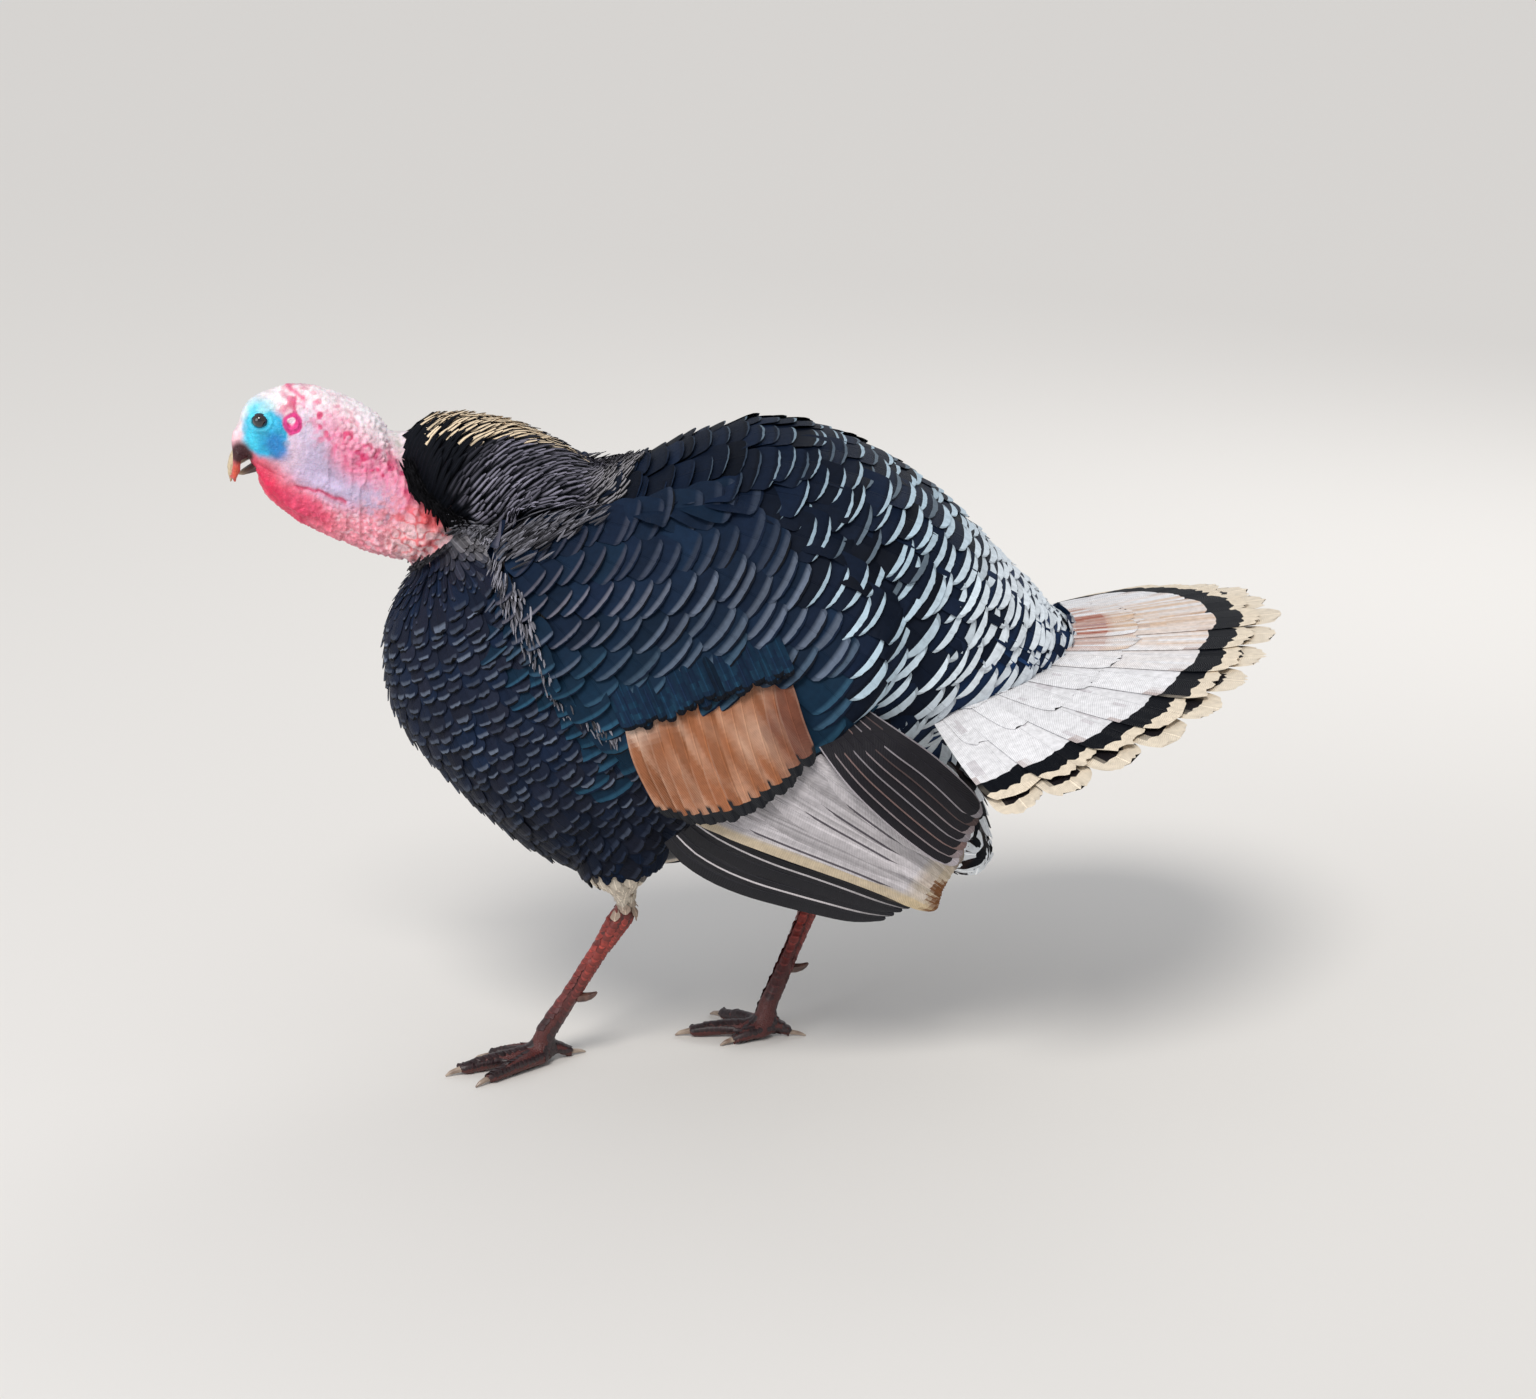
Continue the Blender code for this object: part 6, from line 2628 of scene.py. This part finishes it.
@dataclass
class Eyes:
    """The two eyeballs, with a bulging cornea over a dark iris."""

    rings: int = 40
    pupil: float = 28.0
    iris: float = 52.0
    bulge: float = 0.00045

    def build(self) -> None:
        """Builds both eyes."""
        for side, sign in SIDES:
            tool = bmesh.new()
            bmesh.ops.create_uvsphere(tool, u_segments=self.rings * 2, v_segments=self.rings,
                radius=EYE_RADIUS)
            mesh = smooth_mesh(tool, f"eyeball_{side}")
            points, _ = arrays_of(mesh)
            flip = np.array((1.0, sign, 1.0))
            axis = Vector(EYE_AXIS * flip)
            turn = np.array(Vector((0, 0, 1)).rotation_difference(axis).to_matrix())
            angle = np.degrees(np.arccos(np.clip(points[:, 2] / EYE_RADIUS, -1, 1)))
            points[:, 2] += self.bulge * (1 - ease(self.pupil, self.iris, angle))
            grain = mottle(points, 0.0007, 61)
            colours = mixed((0.024, 0.012, 0.010), (0.003, 0.003, 0.008), ease(30, 24, angle))
            colours = colours * (1 + 0.35 * grain * (angle > self.pupil))[:, None]
            colours = mixed(colours, (0.010, 0.012, 0.030), ease(self.iris - 4, self.iris, angle))
            move_points(mesh, points @ turn.T + EYE_PLACE * flip)
            paint(mesh, "iris", colours, "POINT")
            piece = put(f"eyeball_{side}", mesh, WetEye().material())
            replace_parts(piece, f"eye_{side}")


@dataclass
class Beak:
    """The hooked upper beak, with its nostrils, and the lower one."""

    cuts: int = 7

    def build(self) -> None:
        """Builds both halves."""
        for half in ("upper", "lower"):
            mesh = fine_copy(f"beak_{half}_horn", [f"beak_{half}"], self.cuts, 10)
            points, triangles = arrays_of(mesh)
            normals = vertex_normals(points, triangles)
            side = mirrored(points)
            back = ease(-0.528, -0.508, side[:, 0] + MIDDLE_X)
            ripple = np.sin(side[:, 0] * 2400 + side[:, 2] * 1300) * 0.00008
            height = ripple + 0.00012 * mottle(points, 0.0022, 31)
            if half == "upper":
                nostril = np.linalg.norm((side - spot(-0.5155, 0.0088, 0.6600)) * (1.0, 0.6, 1.5),
                    axis=1)
                height -= 0.0016 * np.exp(-((nostril / 0.0019) ** 2))
                height += 0.0004 * np.exp(-(((nostril - 0.0032) / 0.0010) ** 2))
            points = points + normals * height[:, None]
            move_points(mesh, points)
            ivory = mixed((0.62, 0.50, 0.33), (0.45, 0.27, 0.15), ease(0.640, 0.625, points[:, 2]))
            # the dark base is partly the horn's own, partly painted shade under the snood
            colours = mixed(ivory, (0.060, 0.022, 0.020), back)
            colours = colours * (1 + 0.15 * mottle(points, 0.003, 33))[:, None]
            paint(mesh, "horn", colours, "POINT")
            piece = put(f"beak_{half}_horn", mesh, Horn("beak_horn").material())
            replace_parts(piece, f"beak_{half}")


@dataclass
class Foot:
    """One leg's scutes, spur and claws."""

    side: str
    skin: Skin
    shank_pitch: float = 0.0082
    toe_pitch: float = 0.0075

    def build(self) -> None:
        """Builds the plates, the spur and the claws."""
        self.scutes()
        self.horn("claws", [f"claw_{self.side}_{toe}" for toe in TOES], self.claw_tint)
        self.horn("spur", [f"spur_{self.side}"], self.spur_tint)

    @staticmethod
    def claw_tint(points: Array) -> Array:
        """Returns the claws' colours: dark brown to pale horn in soft patches."""
        tone = 0.5 + 0.5 * mottle(points, 0.006, 37)
        return mixed((0.20, 0.13, 0.10), (0.52, 0.42, 0.33), np.clip(tone, 0, 1))

    @staticmethod
    def spur_tint(points: Array) -> Array:
        """Returns the spur's colours."""
        tone = 0.5 + 0.5 * mottle(points, 0.004, 41)
        return mixed((0.045, 0.022, 0.020), (0.16, 0.08, 0.06), np.clip(tone, 0, 1))

    def horn(self, kind: str, nodes: Sequence[str], tint: Callable[[Array], Array]) -> None:
        """Builds the horn of some nodes as one piece.

        Args:
            kind: What the piece is called.
            nodes: The nodes that it stands for.
            tint: Gives the colours at points.
        """
        name = f"{kind}_{self.side}"
        mesh = fine_copy(f"{name}_horn", nodes, 5, 8)
        points, triangles = arrays_of(mesh)
        ridges = 0.00010 * mottle(points * (1, 1, 0.5), 0.0016, 43)
        points = points + vertex_normals(points, triangles) * ridges[:, None]
        if kind == "claws":
            points = self.sunk(points)
        points[:, 2] = np.maximum(points[:, 2], 0.0002)
        move_points(mesh, points)
        paint(mesh, "horn", tint(points), "POINT")
        piece = put(f"{name}_horn", mesh, Horn(f"{kind}_horn").material())
        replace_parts(piece, *nodes)

    def sunk(self, points: Array) -> Array:
        """Returns the claws' points with their roots moved into the toes.

        Args:
            points: The claws' vertices.

        Returns:
            The vertices' new places.
        """
        tips = {toe: spot(*LEGS[self.side][toe]) for toe in TOES}
        away = np.stack([np.linalg.norm(points - tip, axis=1) for tip in tips.values()], 1)
        nearest = away.argmin(1)
        ways = unit(np.array(list(tips.values())) - spot(*LEGS[self.side]["pad"]))
        pull = ease(0.007, 0.0135, away.min(1)) * 0.0052
        return points - ways[nearest] * pull[:, None]

    def scutes(self) -> None:
        """Lays the horny plates down the shank and out along the toes."""
        leg = {key: spot(*value) for key, value in LEGS[self.side].items()}
        rng = np.random.default_rng(811)
        down = unit(leg["pad"] - leg["hock"])
        front = unit(np.array((-1.0, 0.0, 0.0)) - down * -down[0])
        aside = np.cross(down, front)
        span = np.linalg.norm(leg["pad"] - leg["hock"])
        rows: List[Tuple[Array, Array, Array, float, float]] = []
        # columns round the shank: degrees from its front, share of the pitch, width, offset
        around = ((0, 1.0, 0.0165, 0.0), (58, 1.0, 0.0105, 0.5), (-58, 1.0, 0.0105, 0.5),
            (108, 0.7, 0.0085, 0.0), (-108, 0.7, 0.0085, 0.0), (150, 0.7, 0.0085, 0.5),
            (-150, 0.7, 0.0085, 0.5))
        for degrees, share, width, offset in around:
            turn = math.radians(degrees)
            out = front * math.cos(turn) + aside * math.sin(turn)
            pitch = self.shank_pitch * share
            for k in range(int(span * 0.94 / pitch)):
                at = leg["hock"] + down * ((k + offset) * pitch + 0.002)
                rows.append((at + out * 0.02, down, out, pitch * 1.55, width))
        for toe in TOES:
            way = unit(leg[toe] - leg["pad"])
            level = np.cross(way, (0, 0, 1.0))
            reach = np.linalg.norm(leg[toe] - leg["pad"]) - 0.013
            radius = TOE_RADIUS[toe]
            # columns along the toe: degrees from its top, share of the pitch, width in radii
            for lean, share, wide in ((0, 1.0, 1.75), (62, 0.7, 0.95), (-62, 0.7, 0.95)):
                turn = math.radians(lean)
                out = np.array((0, 0, math.cos(turn))) + level * math.sin(turn)
                pitch = self.toe_pitch * share * (0.8 if toe == "hind" else 1.0)
                first = 0.004 if toe == "hind" else 0.010
                for k in range(int((reach - first) / pitch)):
                    at = leg["pad"] + way * (first + k * pitch) + (0, 0, radius * 0.8)
                    taper = 1.0 - 0.28 * k * pitch / reach
                    rows.append((at + out * 0.02, way, out, pitch * 1.5, radius * wide * taper))
        start, way, out, length, width = (np.array(column) for column in zip(*rows))
        length = length * rng.normal(1, 0.05, len(rows))
        width = width * rng.normal(1, 0.05, len(rows))
        surface = self.skin.under
        place = np.empty_like(start)
        for k in range(len(start)):
            hit = surface.tree.ray_cast(Vector(start[k]), Vector(-out[k]), 0.03)
            place[k] = hit[0] if hit[0] is not None else start[k] - out[k] * 0.012
        cut = Cut(root=0.85, full_at=0.4, tip=0.72, tip_from=0.55, corner=0.45, camber=0.42, rows=9,
            columns=9, fray=0.02)
        edges = np.tile(SMALL_BORDERS, (len(rows), 1))
        along = cut.stops(edges)
        centre, outward, ahead = marched(surface, place, way, along, length, 1.0)
        centre = centre + outward * (0.0002 + 0.0010 * along)[..., None]
        # painted shade: the scutes darken towards the toes
        low = ease(0.14, 0.03, place[:, 2])
        tone = mixed(MAROON, SCUTE_SHADE, low) * rng.normal(1, 0.16, (len(rows), 1))
        colours = tint_rows(along, cut.columns, edges, tone, tone * 0.8, tone * 1.5)
        batch = Vanes(cut, centre, outward, ahead, along, length, width,
            rng.uniform(0.02, 0.98, (len(rows), 2)), colours)
        mesh = batch.mesh(f"scutes_{self.side}", 823)
        put(f"scutes_{self.side}", mesh, SCUTE.material())


# ---------------------------------------------------------------- down
@dataclass
class Down:
    """Loose pale down where the coat parts: along the wing's front and the neck's root."""

    skin: Skin

    def build(self) -> None:
        """Grows the tufts."""
        lines = [
            # stops seen from the side, count, length, spread, way, darkest, lightest
            ([(-0.264, 0.580), (-0.244, 0.545), (-0.222, 0.490)],
             150, 0.012, 0.0050, (0.5, -0.9), 0.03, 0.38),
            ([(-0.222, 0.490), (-0.200, 0.440), (-0.140, 0.405)],
             60, 0.009, 0.0030, (0.5, -0.9), 0.03, 0.30),
            ([(-0.310, 0.586), (-0.290, 0.586), (-0.262, 0.578)],
             110, 0.013, 0.0050, (0.9, 0.3), 0.02, 0.24),
            ([(-0.262, 0.575), (-0.205, 0.602), (-0.160, 0.620)],
             260, 0.018, 0.0070, (0.8, 0.5), 0.01, 0.22),
            ([(-0.284, 0.583), (-0.309, 0.590), (-0.336, 0.614), (-0.346, 0.640)],
             380, 0.015, 0.0032, (-0.25, 0.95), 0.003, 0.012),
            ([(-0.342, 0.544), (-0.330, 0.550), (-0.306, 0.568)],
             110, 0.009, 0.0022, (-0.1, -0.95), 0.012, 0.060),
        ]
        rng = np.random.default_rng(907)
        starts, ways, lengths, tones = [], [], [], []
        for _, sign in SIDES:
            for stops, count, length, spread, way, darkest, lightest in lines:
                table = np.array(stops)
                run = np.linspace(0, 1, len(table))
                at = rng.random(count)
                x = np.interp(at, run, table[:, 0]) + rng.normal(0, spread, count)
                z = np.interp(at, run, table[:, 1]) + rng.normal(0, spread, count)
                for k in range(count):
                    hit = self.skin.under.tree.ray_cast(Vector((x[k] - MIDDLE_X, sign * 0.4, z[k])),
                        Vector((0, -sign, 0)), 0.4)
                    if hit[0] is not None:
                        starts.append(np.array(hit[0]))
                        turn = rng.normal(0, 0.20)
                        ways.append((way[0] + turn, 0.0, way[1] - turn * 0.3))
                        lengths.append(length * rng.uniform(0.7, 1.3))
                        tones.append(rng.uniform(darkest, lightest))
        place, way = np.array(starts), unit(np.array(ways))
        cut = Cut(root=0.5, full_at=0.4, tip=0.25, tip_from=0.5, corner=0.8, camber=0.5, rows=9,
            columns=3, fray=0.2)
        edges = np.tile(SMALL_BORDERS, (len(place), 1))
        along = cut.stops(edges)
        length = np.array(lengths)
        centre, outward, ahead = marched(self.skin.under, place, way, along, length, 0.5)
        centre = centre + outward * (0.008 + 0.003 * along)[..., None]
        tone = np.array(tones)[:, None] * (0.98, 0.97, 1.12)
        colours = tint_rows(along, cut.columns, edges, tone, tone, tone * 1.2)
        batch = Vanes(cut, centre, outward, ahead, along, length, np.full(len(place), 0.0026),
            rng.uniform(0.02, 0.98, (len(place), 2)), colours)
        mesh = batch.mesh("down_tufts", 911)
        put("down_tufts", mesh, Plumage("down", 0.8, 0.0, 0.0012, 0.0002, 1.0).material())


# ---------------------------------------------------------------- studio
@dataclass(frozen=True)
class Studio:
    """The plain pale floor, the soft lights and the camera."""

    aim: Tuple[float, float, float] = (0.008, 0.0, 0.383)
    distance: float = 3.6
    azimuth: float = -4.0
    rise: float = 17.0
    sensor: float = 36.0
    lens: float = 80.357
    floor_size: float = 60.0
    floor_colour: Colour = (0.78, 0.76, 0.73)
    air_colour: Colour = (0.74, 0.76, 0.80)
    air_strength: float = 0.60
    sun_strength: float = 1.75
    sun_width: float = 22.0

    def build(self) -> None:
        """Builds the floor, the lights and the camera."""
        self.floor()
        self.air()
        self.sun()
        self.lamp("front", (-2.3, -1.6, 1.5), (1.6, 1.6), 20.0, (0.95, 0.97, 1.0))
        self.lamp("back", (1.6, 2.2, 2.2), (1.6, 1.6), 20.0, (1.0, 1.0, 1.0))
        self.camera()

    def floor(self) -> None:
        """Lays the floor."""
        half = self.floor_size / 2
        corners = np.array([(-half, -half, 0), (half, -half, 0), (half, half, 0), (-half, half, 0)])
        mesh = mesh_of("floor", corners, np.arange(4), np.array([4]))
        n = Nodes("floor")
        n.set(Roughness=0.9)
        n.shader.inputs["Base Color"].default_value = (*self.floor_colour, 1.0)
        mesh.materials.append(n.material)
        linked("floor", mesh)

    def air(self) -> None:
        """Fills the room with soft light."""
        world = bpy.data.worlds.new("air")
        world.use_nodes = True
        ground = world.node_tree.nodes["Background"]
        ground.inputs["Color"].default_value = (*self.air_colour, 1.0)
        ground.inputs["Strength"].default_value = self.air_strength
        bpy.context.scene.world = world

    @staticmethod
    def aimed(name: str, light: bpy.types.Light, place: Sequence[float]) -> None:
        """Hangs a light at a place, facing the bird.

        Args:
            name: The lamp's name.
            light: Its light.
            place: Where it hangs.
        """
        lamp = linked(name, light)
        lamp.location = place
        way = Vector((0, 0, 0.4)) - Vector(place)
        lamp.rotation_euler = way.to_track_quat("-Z", "Y").to_euler()

    def sun(self) -> None:
        """Hangs the soft main light, which is even over the whole floor."""
        light = bpy.data.lights.new("sun", "SUN")
        light.energy = self.sun_strength
        light.angle = math.radians(self.sun_width)
        light.color = (1.0, 0.965, 0.92)
        self.aimed("sun", light, (-0.7, -2.1, 3.1))

    def lamp(self, name: str, place: Tuple[float, float, float], size: Tuple[float, float],
            power: float, colour: Colour) -> None:
        """Hangs one soft lamp that faces the bird.

        Args:
            name: The lamp's name.
            place: Where it hangs.
            size: Its width and height.
            power: Its power in watts.
            colour: Its colour.
        """
        light = bpy.data.lights.new(name, "AREA")
        light.shape = "RECTANGLE"
        light.size, light.size_y = size
        light.energy = power
        light.color = colour
        self.aimed(name, light, place)

    def camera(self) -> None:
        """Sets up the camera and the film's contrast."""
        bpy.context.scene.view_settings.view_transform = "Standard"
        lens = bpy.data.cameras.new("camera")
        lens.sensor_width = self.sensor
        lens.lens = self.lens
        lens.clip_end = 100.0
        camera = linked("camera", lens)
        turn, rise = math.radians(self.azimuth), math.radians(self.rise)
        away = Vector((math.sin(turn) * math.cos(rise), -math.cos(turn) * math.cos(rise),
            math.sin(rise)))
        camera.location = Vector(self.aim) + away * self.distance
        camera.rotation_euler = (-away).to_track_quat("-Z", "Y").to_euler()
        bpy.context.scene.camera = camera


def main() -> None:
    """Builds the bird piece by piece."""
    logging.basicConfig(level=logging.INFO, format="%(name)s: %(message)s")
    skin = Skin()
    skin.build()
    Coat(skin).build()
    for side, sign in SIDES:
        Wing(side, sign).build()
    Tail().build()
    Eyes().build()
    Beak().build()
    for side, _ in SIDES:
        Foot(side, skin).build()
    Down(skin).build()
    Studio().build()
    bpy.context.view_layer.update()


if __name__ == "__main__":
    main()
